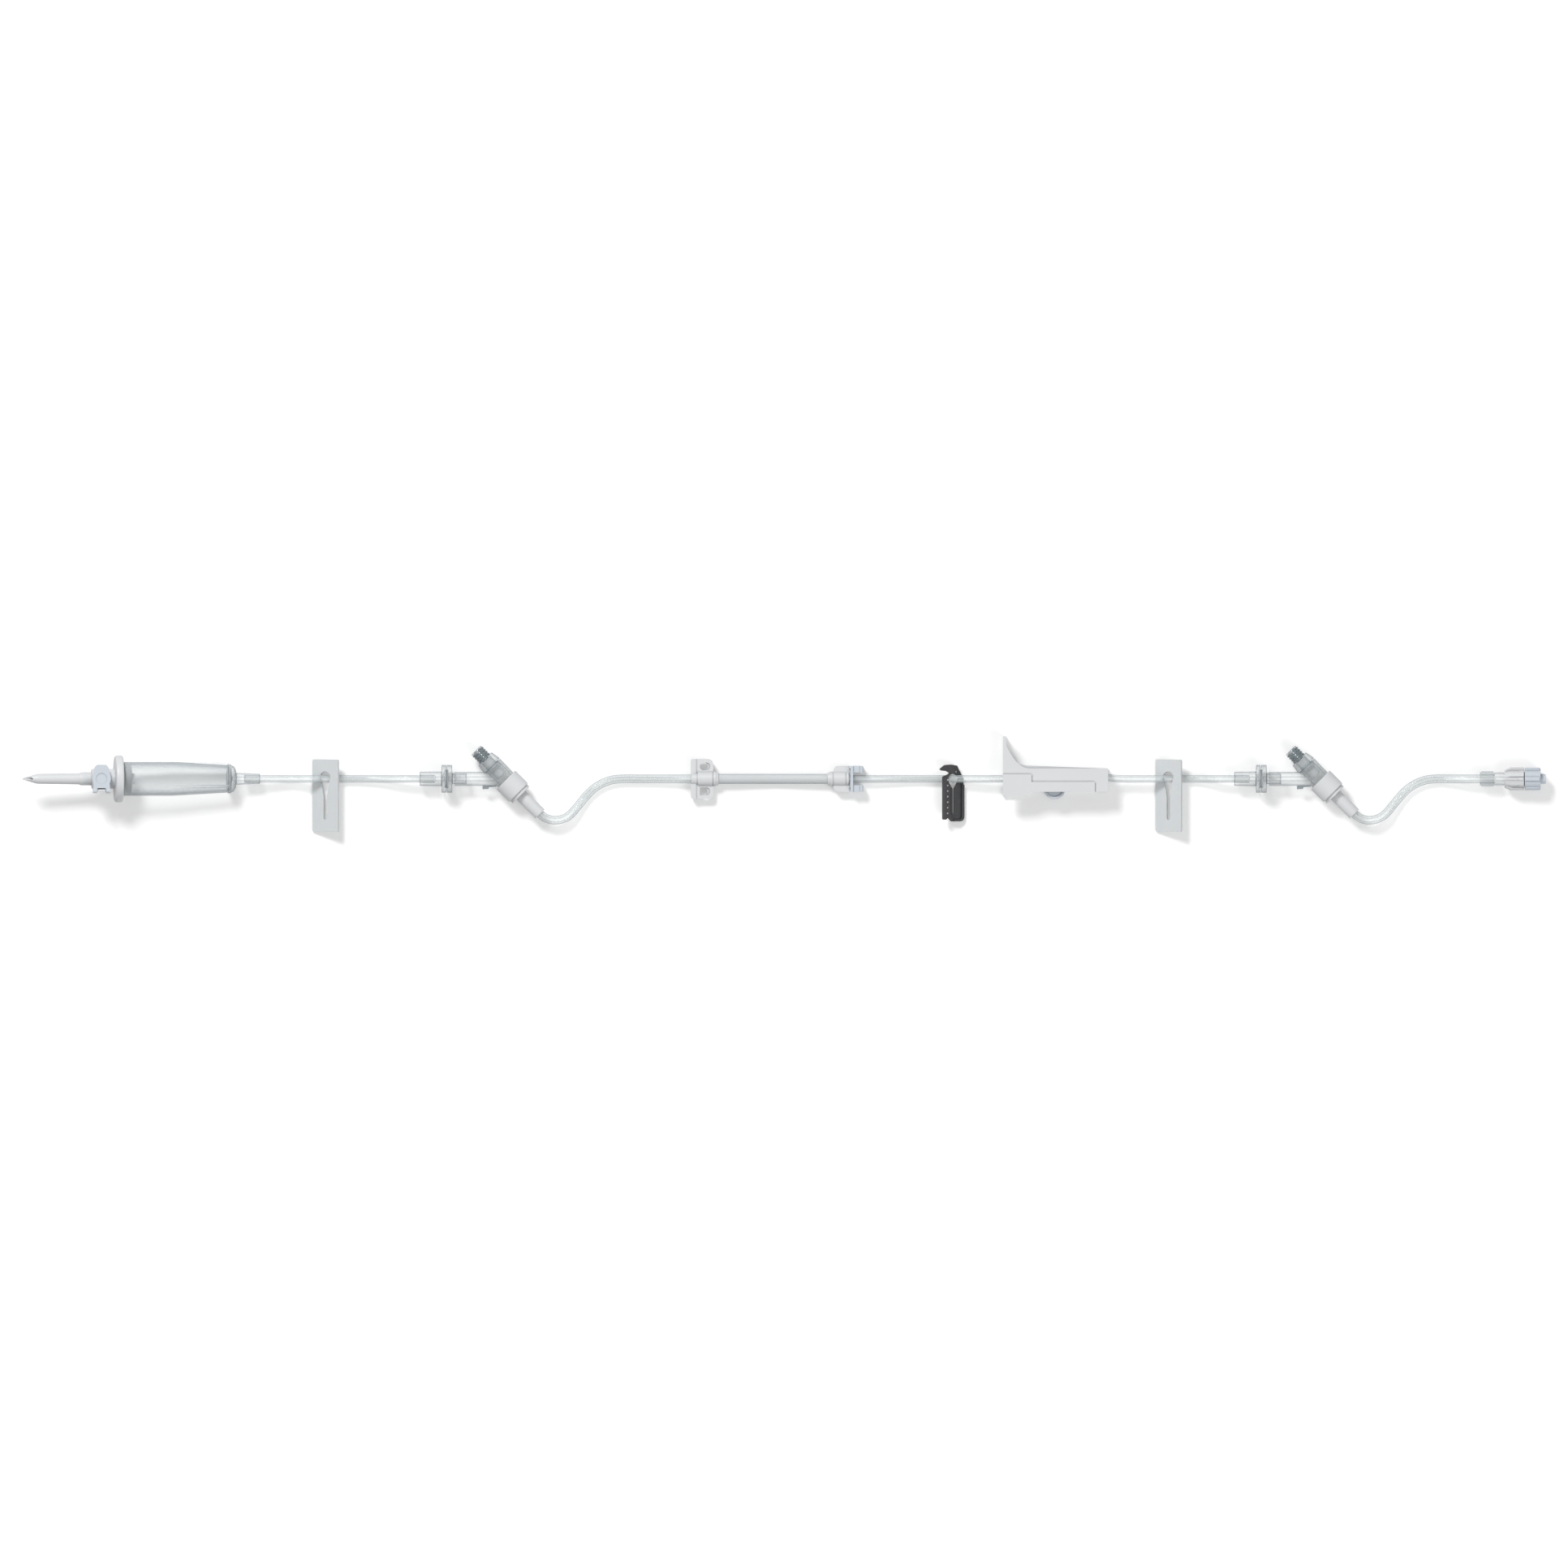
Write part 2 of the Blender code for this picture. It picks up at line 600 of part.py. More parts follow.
def make_drip_chamber(frame, material):
    mouth = FLANGE_THICKNESS + SEAT_GAP
    taper_start = FLANGE_THICKNESS + CHAMBER_STRAIGHT
    ring_start = taper_start + CHAMBER_TAPER
    bottom_end = ring_end() + CHAMBER_BOTTOM
    spout_end = bottom_end + SPOUT_LENGTH
    inner = CHAMBER_RADIUS - CHAMBER_WALL
    foot_inner = CHAMBER_FOOT_RADIUS - CHAMBER_WALL
    socket = LINE_TUBE_RADIUS + SOCKET_CLEARANCE
    socket_floor = spout_end - BOND_DEPTH
    dome = CHAMBER_FOOT_RADIUS - CHAMBER_BOTTOM
    outline = [
        (mouth, inner),
        (mouth, CHAMBER_RADIUS),
        (taper_start, CHAMBER_RADIUS),
        (ring_start, CHAMBER_FOOT_RADIUS),
        (ring_start, CHAMBER_RING_RADIUS),
        (ring_end(), CHAMBER_RING_RADIUS),
        *arc(ring_end(), dome, CHAMBER_BOTTOM, 90, 20),
        (bottom_end, SPOUT_ROOT_RADIUS),
        (spout_end, SPOUT_RADIUS),
        (spout_end, socket),
        (socket_floor, socket),
        (socket_floor, LUMEN_RADIUS),
        (ring_end() + CHAMBER_WALL, LUMEN_RADIUS),
        (ring_end(), foot_inner * 0.86),
        (ring_end() - CHAMBER_RING_WIDTH / 2, foot_inner),
        (ring_start, foot_inner),
        (taper_start, inner),
    ]
    chamber = piece("drip_chamber", turned(outline, WIDE_SIDES), frame, material)
    half = CHAMBER_RIB_THICKNESS / 2
    low = foot_inner + CHAMBER_WALL / 2
    rib_end = ring_end() - CHAMBER_RING_WIDTH * 0.6
    ribs = []
    for turn in (0, 120, 240):
        profile = [
            (taper_start, inner + CHAMBER_WALL * 0.4),
            (rib_end, low),
            (rib_end, CHAMBER_RIB_RADIUS),
            (taper_start, CHAMBER_RADIUS - CHAMBER_WALL * 0.05),
        ]
        place = Matrix.Rotation(math.radians(turn), 4, "X")
        ribs.append(slab(profile, -half, half, place))
    combine(chamber, "UNION", *ribs)
    return chamber


def make_fluid_filter(frame, material):
    """Particle screen that sits on the step at the bottom of the chamber."""
    seat = ring_end() - CHAMBER_RING_WIDTH / 2
    radius = CHAMBER_FOOT_RADIUS - CHAMBER_WALL - SEAT_GAP
    disc = rod(seat - FLUID_FILTER_THICKNESS, seat, radius, WIDE_SIDES)
    return piece("fluid_filter", disc, frame, material)


# Clamps that slide across a tube. Each is a plate that leans over the tube, in a frame at the
# crossing whose X runs across the plate and Z out of its face


def clamp_rest(width, thickness):
    """Height of a leaning plate's middle when its lower edge touches the table."""
    return width / 2 * math.sin(CLAMP_TILT) + thickness / 2 * math.cos(CLAMP_TILT)


def keyhole(radius, rise, slot_width, taper_end, slot_end):
    """A round mouth that narrows to a slot with a round end."""
    half = slot_width / 2
    mouth = arc(0, rise, radius, -35, 215, 16)
    foot = arc(0, -slot_end + half, half, 180, 360, 6)
    return mouth + [(-half, -taper_end)] + foot + [(half, -taper_end)]


def make_slide_clamp(name, frame, material):
    half = SLIDE_CLAMP_WIDTH / 2
    corners = [
        (-half, -SLIDE_CLAMP_BELOW, SLIDE_CLAMP_CORNER),
        (half, -SLIDE_CLAMP_BELOW, SLIDE_CLAMP_CORNER),
        (half, SLIDE_CLAMP_ABOVE, SLIDE_CLAMP_CORNER),
        (-half, SLIDE_CLAMP_ABOVE, SLIDE_CLAMP_CORNER),
    ]
    thick = SLIDE_CLAMP_THICKNESS / 2
    clamp = piece(name, slab(rounded(corners), -thick, thick), frame, material)
    hole = keyhole(KEYHOLE_RADIUS, KEYHOLE_RISE, KEYHOLE_SLOT_WIDTH, KEYHOLE_TAPER_END, KEYHOLE_SLOT_END)
    combine(clamp, "DIFFERENCE", slab(hole, -2 * thick, 2 * thick))
    return clamp


def make_hook_clamp(frame, material):
    """One-piece clamp with raised rims, a tapering slot, grip teeth and a hooked top."""
    side = HOOK_CLAMP_WIDTH / 2
    foot = -HOOK_CLAMP_BELOW
    thick = HOOK_CLAMP_THICKNESS / 2
    top = thick + HOOK_RIM_HEIGHT
    left_foot = [(-side, foot + 0.0009, 0.0007), (-side + HOOK_RIM_WIDTH + 0.0004, foot + 0.0009, 0.0007)]
    bottom = [(-side + 0.0030, foot + 0.0021, 0.0), (-0.0010, foot, 0.0006), (side, foot, 0.0030)]
    crown = [
        (side, 0.0, 0.0010),
        (0.0049, 0.0023, 0.0020),
        (0.0031, 0.0055, 0.0004),
        (0.0025, 0.0069, 0.0008),
        (-0.0013, 0.0075, 0.0040),
        (-0.0050, 0.00725, 0.0030),
    ]
    beak = [
        (-0.0081, 0.0050, 0.0005),
        (-0.0067, 0.0043, 0.0010),
        (-0.0040, 0.0041, 0.0010),
        (-0.0020, 0.0030, 0.0),
        (-0.0034, 0.0022, 0.0005),
        (-side, 0.0012, 0.0008),
    ]
    outline = rounded(left_foot + bottom + crown + beak, 3)
    clamp = piece("hook_clamp", slab(outline, -thick, thick), frame, material)
    left_rim = [
        (-side, foot + 0.0009, 0.0007),
        (-side + HOOK_RIM_WIDTH, foot + 0.0009, 0.0007),
        (-side + HOOK_RIM_WIDTH, 0.0006, 0.0003),
        (-side, 0.0006, 0.0003),
    ]
    right_rim = [
        (0.0, foot, 0.0),
        (side, foot, 0.0030),
        (side, -0.0030, 0.0003),
        (side - HOOK_RIM_WIDTH, -0.0030, 0.0003),
        (side - HOOK_RIM_WIDTH, foot + HOOK_RIM_WIDTH * 0.8, 0.0016),
        (0.0, foot + HOOK_RIM_WIDTH * 0.6, 0.0),
    ]
    for rim in (left_rim, right_rim):
        combine(clamp, "UNION", slab(rounded(rim, 3), 0.0, top))
    lip = HOOK_SLOT_WIDTH / 2 + 0.0009
    lip_end = -HOOK_SLOT_END + HOOK_SLOT_WIDTH / 2
    guard = arc(0, lip_end, lip, 180, 360, 8) + [(lip, -HOOK_TAPER_END), (-lip, -HOOK_TAPER_END)]
    bar = [(-0.0008, foot + 0.0019), (0.0010, foot + 0.0019), (0.0010, foot + 0.0023), (-0.0008, foot + 0.0023)]
    combine(clamp, "UNION", slab(guard, 0.0, thick + 0.0004), slab(bar, 0.0, thick + 0.0004))
    for k in range(HOOK_TOOTH_COUNT):
        x = -side + HOOK_RIM_WIDTH + (0.0009 if k % 2 == 0 else 0.0012)
        y = -0.0006 - HOOK_TOOTH_PITCH * k
        place = Matrix.Translation((x, y, 0)) @ UPRIGHT
        low, high = thick / 2, thick + 0.0006
        tooth = [(low, 0), (low, HOOK_TOOTH_RADIUS * 1.4), (high, HOOK_TOOTH_RADIUS / 2), (high, 0)]
        combine(clamp, "UNION", turned(tooth, 6, place))
    mouth = keyhole(HOOK_MOUTH_RADIUS, -HOOK_MOUTH_DROP, HOOK_SLOT_WIDTH, HOOK_TAPER_END, HOOK_SLOT_END)
    window = Matrix.Translation((0.0020, 0.0037, 0)) @ UPRIGHT
    through = slab(mouth, -2 * top, 2 * top)
    combine(clamp, "DIFFERENCE", through, rod(-2 * top, 2 * top, 0.0006, 10, window))
    return clamp


# Check valve, in a frame with X along the line and 0 at the inlet sleeve's mouth


def valve_parting():
    return VALVE_SLEEVE_LENGTH + VALVE_INLET_DISC


def valve_length():
    return valve_parting() + VALVE_OUTLET_DISC + VALVE_NECK_LENGTH


def make_check_valve(prefix, frame, clear, silicone):
    parting = valve_parting()
    socket = LINE_TUBE_RADIUS + SOCKET_CLEARANCE
    inlet_face = parting - SEAT_GAP / 2
    outlet_face = parting + SEAT_GAP / 2
    inlet = [
        (0, socket),
        (0, VALVE_SLEEVE_RADIUS * 0.96),
        (VALVE_SLEEVE_LENGTH, VALVE_SLEEVE_RADIUS),
        (VALVE_SLEEVE_LENGTH, VALVE_DISC_RADIUS),
        (inlet_face, VALVE_DISC_RADIUS),
        (inlet_face, VALVE_POCKET_RADIUS),
        (inlet_face - VALVE_POCKET_DEPTH, VALVE_POCKET_RADIUS),
        (inlet_face - VALVE_POCKET_DEPTH, LUMEN_RADIUS),
        (BOND_DEPTH, LUMEN_RADIUS),
        (BOND_DEPTH, socket),
    ]
    disc_end = parting + VALVE_OUTLET_DISC
    spigot_end = disc_end + VALVE_NECK_LENGTH + VALVE_SPIGOT
    outlet = [
        (outlet_face, VALVE_POCKET_RADIUS),
        (outlet_face, VALVE_DISC_RADIUS),
        (disc_end, VALVE_DISC_RADIUS),
        (disc_end, VALVE_NECK_RADIUS),
        (spigot_end, VALVE_NECK_RADIUS),
        (spigot_end, LUMEN_RADIUS),
        (outlet_face + VALVE_POCKET_DEPTH, LUMEN_RADIUS),
        (outlet_face + VALVE_POCKET_DEPTH, VALVE_POCKET_RADIUS),
    ]
    half = VALVE_FLAP_THICKNESS / 2
    piece(f"{prefix}_check_valve_inlet", turned(inlet, WIDE_SIDES), frame, clear)
    piece(f"{prefix}_check_valve_outlet", turned(outlet, WIDE_SIDES), frame, clear)
    flap = rod(parting - half, parting + half, VALVE_FLAP_RADIUS, SMALL_SIDES)
    piece(f"{prefix}_check_valve_disc", flap, frame, silicone)


# Y-site. The arm lies along the line and the barrel crosses it at 45 degrees. Each has a frame:
# the arm's starts at its mouth, the barrel's at the point where the two axes meet


def outlet_reach():
    """From the point where the axes meet to the end of the tube socket."""
    return Y_COLLAR_START + Y_COLLAR_LENGTH + Y_BASE_LENGTH + Y_BOOT_LENGTH


def port_face():
    return Y_WELD - PORT_LENGTH


def make_y_body(prefix, arm_frame, material):
    """Side arm and barrel moulded in one, with a small web in the corner between them."""
    barrel_end = Y_COLLAR_START + Y_COLLAR_LENGTH - Y_COLLAR_WALL
    barrel = Matrix.Translation((Y_ARM_LENGTH, 0, 0)) @ Matrix.Rotation(DIAGONAL, 4, "Z")
    uncut = Y_WELD * 1.1
    shell = [
        (uncut, 0),
        (uncut, Y_BARREL_RADIUS),
        (Y_WELD / 3, Y_BARREL_WAIST),
        (barrel_end, Y_BARREL_WAIST),
        (barrel_end, 0),
    ]
    socket = VALVE_NECK_RADIUS + SOCKET_CLEARANCE
    mouth_floor = VALVE_SPIGOT + SEAT_GAP
    arm = [
        (0, socket),
        (0, Y_ARM_RADIUS),
        (Y_ARM_LENGTH, Y_ARM_RADIUS),
        (Y_ARM_LENGTH, 0),
        (mouth_floor, 0),
        (mouth_floor, socket),
    ]
    half_side = Matrix.Rotation(math.pi / SMALL_SIDES, 4, "X")
    body = piece(f"{prefix}_y_body", turned(arm, SMALL_SIDES, half_side), arm_frame, material)
    half = Y_WEB_THICKNESS / 2
    web = [
        (Y_ARM_LENGTH - 0.0117, -Y_ARM_RADIUS * 0.7),
        (Y_ARM_LENGTH - 0.0117, -0.0055),
        (Y_ARM_LENGTH - 0.0085, -0.0053),
        (Y_ARM_LENGTH - 0.0083, -0.0044),
        (Y_ARM_LENGTH - 0.0045, -0.0040),
        (Y_ARM_LENGTH - 0.0045, -Y_ARM_RADIUS * 0.7),
    ]
    combine(body, "UNION", turned(shell, WIDE_SIDES, barrel), slab(web, -half, half), solver="MANIFOLD")
    relief = Y_BARREL_RADIUS + SEAT_GAP
    hollow = [
        (port_face(), 0),
        (port_face(), relief),
        (Y_WELD, relief),
        (Y_WELD, Y_CAVITY_RADIUS),
        (barrel_end - Y_COLLAR_WALL, Y_CAVITY_RADIUS),
        (barrel_end - Y_COLLAR_WALL, 0),
    ]
    chamber = turned(hollow, WIDE_SIDES, barrel)
    lumen = rod(VALVE_SPIGOT / 2, Y_ARM_LENGTH, LUMEN_RADIUS, BORE_SIDES)
    outlet = rod(0, barrel_end + SEAT_GAP, LUMEN_RADIUS, BORE_SIDES, barrel)
    combine(body, "DIFFERENCE", chamber, lumen, outlet, solver="MANIFOLD")


def make_y_outlet_base(prefix, barrel_frame, material):
    """Collar that takes the barrel's foot, with the long socket for the tube below it."""
    start = Y_COLLAR_START
    base = start + Y_COLLAR_LENGTH
    boot = base + Y_BASE_LENGTH
    end = boot + Y_BOOT_LENGTH
    cup = Y_BARREL_WAIST + SOCKET_CLEARANCE
    cup_floor = base - Y_COLLAR_WALL + SEAT_GAP
    socket = Y_TUBE_RADIUS + SOCKET_CLEARANCE
    outline = [
        (start, cup),
        (start, Y_COLLAR_RADIUS),
        (base, Y_COLLAR_RADIUS),
        (base, Y_BASE_RADIUS),
        (boot, Y_BASE_RADIUS),
        (boot, Y_BOOT_RADIUS),
        (end, Y_BOOT_RADIUS),
        (end, socket),
        (end - Y_BOOT_BOND, socket),
        (end - Y_BOOT_BOND, LUMEN_RADIUS),
        (cup_floor, LUMEN_RADIUS),
        (cup_floor, cup),
    ]
    piece(f"{prefix}_y_outlet_base", turned(outline, WIDE_SIDES), barrel_frame, material)


def make_y_port(prefix, barrel_frame, clear, silicone):
    """Needle-free port: a housing with a luer mouth, and the silicone piston that fills it."""
    face = port_face()
    thread_end = face + PORT_THREAD_LENGTH
    band = Y_WELD - PORT_LENGTH * 0.1
    weld = Y_WELD - SEAT_GAP
    spigot_end = Y_WELD + PORT_SPIGOT
    spigot = Y_CAVITY_RADIUS - SOCKET_CLEARANCE
    shoulder = face + PISTON_SHOULDER
    wide = PISTON_SKIRT_RADIUS + RUNNING_CLEARANCE
    housing = [
        (face, PORT_BORE_RADIUS),
        (face, PORT_THREAD_RADIUS),
        (thread_end, PORT_THREAD_RADIUS),
        (thread_end, PORT_CONE_START_RADIUS),
        (band, Y_BARREL_RADIUS),
        (weld, Y_BARREL_RADIUS),
        (weld, spigot),
        (spigot_end, spigot),
        (spigot_end, wide),
        (shoulder, wide),
        (shoulder, PORT_BORE_RADIUS * 0.97),
    ]
    piece(f"{prefix}_y_valve_housing", turned(housing, WIDE_SIDES), barrel_frame, clear)
    head = face + SEAT_GAP / 3
    skirt = shoulder + SEAT_GAP
    end = head + PISTON_LENGTH
    piston = [
        (head, 0),
        (head, PISTON_HEAD_RADIUS),
        (skirt, PISTON_HEAD_RADIUS),
        (skirt, PISTON_SKIRT_RADIUS),
        (end, PISTON_SKIRT_RADIUS),
        (end, PISTON_SKIRT_RADIUS - PISTON_WALL),
        (skirt + PISTON_WALL, PISTON_HEAD_RADIUS * 0.5),
        (skirt, 0),
    ]
    carrier = frame_at(f"{prefix}_piston_slide", (0, 0, 0), parent=barrel_frame)
    piece(f"{prefix}_y_valve_piston", turned(piston, SMALL_SIDES), carrier, silicone)


# Pump fitments, each in a frame with X along the line and 0 at its left end


def make_upper_pump_fitment(frame, material):
    """Flanged plate with a round and a D-shaped locating hole either side of the tube barrel."""
    half = UPPER_FITMENT_HEIGHT / 2
    thick = FITMENT_PLATE_THICKNESS / 2
    depth = UPPER_FLANGE_DEPTH / 2
    plate = rounded(
        [
            (UPPER_FLANGE_THICKNESS / 2, -half, 0.0),
            (UPPER_FITMENT_LENGTH, -half, 0.0028),
            (UPPER_FITMENT_LENGTH, half, 0.0028),
            (UPPER_FLANGE_THICKNESS / 2, half, 0.0),
        ]
    )
    flange = rounded(
        [
            (0, -half, 0.0012),
            (UPPER_FLANGE_THICKNESS, -half, 0.0),
            (UPPER_FLANGE_THICKNESS, half, 0.0),
            (0, half, 0.0012),
        ]
    )
    fitment = piece("upper_pump_fitment", slab(flange, -depth, depth), frame, material)
    end = UPPER_FITMENT_LENGTH + FITMENT_SOCKET_LENGTH
    ring_end = UPPER_FITMENT_LENGTH + FITMENT_SOCKET_RING
    inset = UPPER_FLANGE_THICKNESS + 0.0008
    barrel = [
        (0.0003, 0),
        (0.0003, UPPER_BUSH_RADIUS),
        (inset, UPPER_BUSH_RADIUS),
        (inset, FITMENT_BARREL_RADIUS),
        (UPPER_FITMENT_LENGTH - 0.0003, FITMENT_BARREL_RADIUS),
        (UPPER_FITMENT_LENGTH - 0.0003, FITMENT_BARREL_RADIUS - 0.0003),
        (UPPER_FITMENT_LENGTH + 0.0002, FITMENT_BARREL_RADIUS - 0.0003),
        (UPPER_FITMENT_LENGTH + 0.0002, FITMENT_SOCKET_RADIUS),
        (ring_end, FITMENT_SOCKET_RADIUS),
        (ring_end, FITMENT_SOCKET_RADIUS - 0.0002),
        (end, FITMENT_SOCKET_RADIUS - 0.0007),
        (end, 0),
    ]
    ears = slab(plate, -thick, thick)
    combine(fitment, "UNION", ears, turned(barrel, WIDE_SIDES), solver="MANIFOLD")
    inlet = Y_TUBE_RADIUS + SOCKET_CLEARANCE
    segment = PUMP_SEGMENT_RADIUS + SOCKET_CLEARANCE
    bores = [
        rod(-SEAT_GAP, BOND_DEPTH, inlet, SMALL_SIDES),
        rod(0, end, LUMEN_RADIUS, BORE_SIDES),
        rod(end - PUMP_SEGMENT_BOND, end + SEAT_GAP, segment, SMALL_SIDES),
    ]
    round_hole = Matrix.Translation((EAR_HOLE_AT, EAR_HOLE_OFFSET, 0)) @ UPRIGHT
    shallow_hole = Matrix.Translation((EAR_HOLE_AT + EAR_HOLE_STEP, EAR_HOLE_OFFSET, 0)) @ UPRIGHT
    bores.append(rod(-2 * thick, 2 * thick, EAR_HOLE_RADIUS, SMALL_SIDES, round_hole))
    bores.append(rod(thick / 3, 2 * thick, EAR_HOLE_RADIUS * 0.96, SMALL_SIDES, shallow_hole))
    bores.append(slab(ear_slot(EAR_SLOT_LENGTH - EAR_HOLE_STEP, EAR_SLOT_WIDTH), -2 * thick, 2 * thick))
    bores.append(slab(ear_slot(EAR_SLOT_LENGTH, EAR_SLOT_WIDTH * 0.96), thick / 3, 2 * thick))
    combine(fitment, "DIFFERENCE", *bores, solver="MANIFOLD")


def ear_slot(length, width):
    """D-shaped locating hole, flat on the left and round on the right."""
    radius = width / 2
    left = EAR_HOLE_AT - EAR_HOLE_RADIUS
    right = left + length - radius
    low = -EAR_HOLE_OFFSET - radius
    high = -EAR_HOLE_OFFSET + radius
    return [(left, low)] + arc(right, -EAR_HOLE_OFFSET, radius, -90, 90, 10) + [(left, high)]


def rail_offset():
    """Distance of the slider's rails from the line."""
    return LOWER_FITMENT_HEIGHT / 2 - SLIDER_PRONG_WIDTH / 2


def lower_fitment_end():
    return LOWER_FITMENT_SOCKET + LOWER_FITMENT_LENGTH


def make_lower_pump_fitment(frame, material):
    """Thin plate with round shoulders and two slider grooves, round a barrel that holds both tubes."""
    half = LOWER_FITMENT_HEIGHT / 2
    depth = LOWER_FITMENT_DEPTH / 2
    start = LOWER_FITMENT_SOCKET
    end = lower_fitment_end()
    block_outline = rounded([(start, -half, 0.0030), (end, -half, 0), (end, half, 0), (start, half, 0.0030)])
    body = piece("lower_pump_fitment", slab(block_outline, -depth, depth), frame, material)
    groove_start = start + LOWER_BARREL_GROOVE_AT
    groove_stop = groove_start + LOWER_BARREL_GROOVE_WIDTH
    barrel = [
        (0, 0),
        (0, FITMENT_SOCKET_RADIUS - 0.0006),
        (0.0015, FITMENT_SOCKET_RADIUS - 0.0002),
        (0.0015, FITMENT_SOCKET_RADIUS),
        (start - 0.0004, FITMENT_SOCKET_RADIUS),
        (start - 0.0004, FITMENT_SOCKET_RADIUS - 0.0003),
        (start + 0.0002, FITMENT_SOCKET_RADIUS - 0.0003),
        (start + 0.0002, FITMENT_BARREL_RADIUS - 0.0002),
        (start + 0.0004, FITMENT_BARREL_RADIUS),
        (groove_start, FITMENT_BARREL_RADIUS),
        (groove_start, FITMENT_BARREL_RADIUS - LOWER_BARREL_GROOVE_DEPTH),
        (groove_stop, FITMENT_BARREL_RADIUS - LOWER_BARREL_GROOVE_DEPTH),
        (groove_stop, FITMENT_BARREL_RADIUS),
        (end - 0.0007, FITMENT_BARREL_RADIUS),
        (end, FITMENT_BARREL_RADIUS - 0.0005),
        (end, 0),
    ]
    combine(body, "UNION", turned(barrel, WIDE_SIDES), solver="MANIFOLD")
    segment = PUMP_SEGMENT_RADIUS + SOCKET_CLEARANCE
    outlet = LINE_TUBE_RADIUS + SOCKET_CLEARANCE
    bores = [
        rod(-SEAT_GAP, PUMP_SEGMENT_BOND, segment, SMALL_SIDES),
        rod(0, end, LUMEN_RADIUS, BORE_SIDES),
        rod(end - SLIDER_RAIL / 1.5, end + SEAT_GAP, outlet, SMALL_SIDES),
    ]
    groove = SLIDER_RAIL_SIZE / 2 + SEAT_GAP
    groove_end = end - SLIDER_RAIL - SEAT_GAP
    for side in (-1, 1):
        y = side * rail_offset()
        low = (groove_end, y - groove, -groove)
        bores.append(block(low, (end + SEAT_GAP, y + groove, groove)))
    combine(body, "DIFFERENCE", *bores, solver="MANIFOLD")


def make_flow_stop_slider(frame, material):
    """Slider: a plate astride the tube, two finger prongs behind it and two rails ahead."""
    half = LOWER_FITMENT_HEIGHT / 2
    depth = FITMENT_SOCKET_RADIUS
    carrier = frame_at("flow_stop_slide", (lower_fitment_end() + SEAT_GAP, 0, 0), parent=frame)
    slot = LINE_TUBE_RADIUS + SEAT_GAP
    plate = [(half, -depth), (half, depth), (-half, depth), (-half, -depth), (-slot, -depth)]
    plate += arc(0, 0, slot, 180, 0, 8) + [(slot, -depth)]
    slider = piece("flow_stop_slider", slab(plate, 0, SLIDER_PLATE, ACROSS), carrier, material)
    rail = SLIDER_RAIL_SIZE / 2
    prong_depth = depth * 0.85
    for side in (-1, 1):
        y = side * rail_offset()
        rails = block((-SLIDER_RAIL, y - rail, -rail), (SLIDER_PLATE / 2, y + rail, rail))
        outer = side * half
        inner = side * (half - SLIDER_PRONG_WIDTH)
        lip = side * (half - SLIDER_PRONG_WIDTH - 0.0003)
        end = SLIDER_PLATE + SLIDER_PRONG_LENGTH
        prong = [
            (SLIDER_PLATE / 2, outer, 0),
            (end, outer, 0.0007),
            (end, lip, 0.0004),
            (end - SLIDER_LIP, lip, 0),
            (end - SLIDER_LIP, inner, 0),
            (SLIDER_PLATE / 2, inner, 0),
        ]
        lip_depth = prong_depth + SLIDER_LIP_RAISE
        pad = [(end - SLIDER_LIP, lip), (end - 0.0004, lip), (end - 0.0004, outer), (end - SLIDER_LIP, outer)]
        prongs = slab(rounded(prong, 3), -prong_depth, prong_depth)
        combine(slider, "UNION", rails, prongs, slab(pad, -lip_depth, lip_depth))


# Roller clamp, lying on its side in a frame with X along the line, 0 at its left end, Y 0 on the
# line and Z 0 on the table


def housing_middle():
    return HOUSING_WIDTH / 2


def ridge_height(x):
    share = (x - RIDGE_START) / (RIDGE_END - RIDGE_START)
    return RIDGE_HIGH + (RIDGE_LOW - RIDGE_HIGH) * share


def trough_floor(x):
    """Y of the groove that the tube lies in, which runs out into the channel's floor."""
    start = ridge_height(min(x, ROLLER_AT)) - TROUGH_WALL
    end = HOUSING_TOP - HOUSING_FLOOR
    share = max(0.0, x - ROLLER_AT) / (TROUGH_END - ROLLER_AT)
    return start + (end - start) * min(1.0, share)


def hanger_curve(inset):
    """The hollow curve from the hanging strip down to the body's back, moved in by the wall."""
    width = RIDGE_START + 0.0022 - HANGER_STRIP
    drop = HANGER_STRIP_END - HOUSING_TOP
    points = []
    for k in range(9):
        t = k / 8
        bend = (1 - t) ** 2.3
        points.append((HANGER_STRIP + width * t - inset * 0.8, HOUSING_TOP + drop * bend - inset * 0.75))
    return points


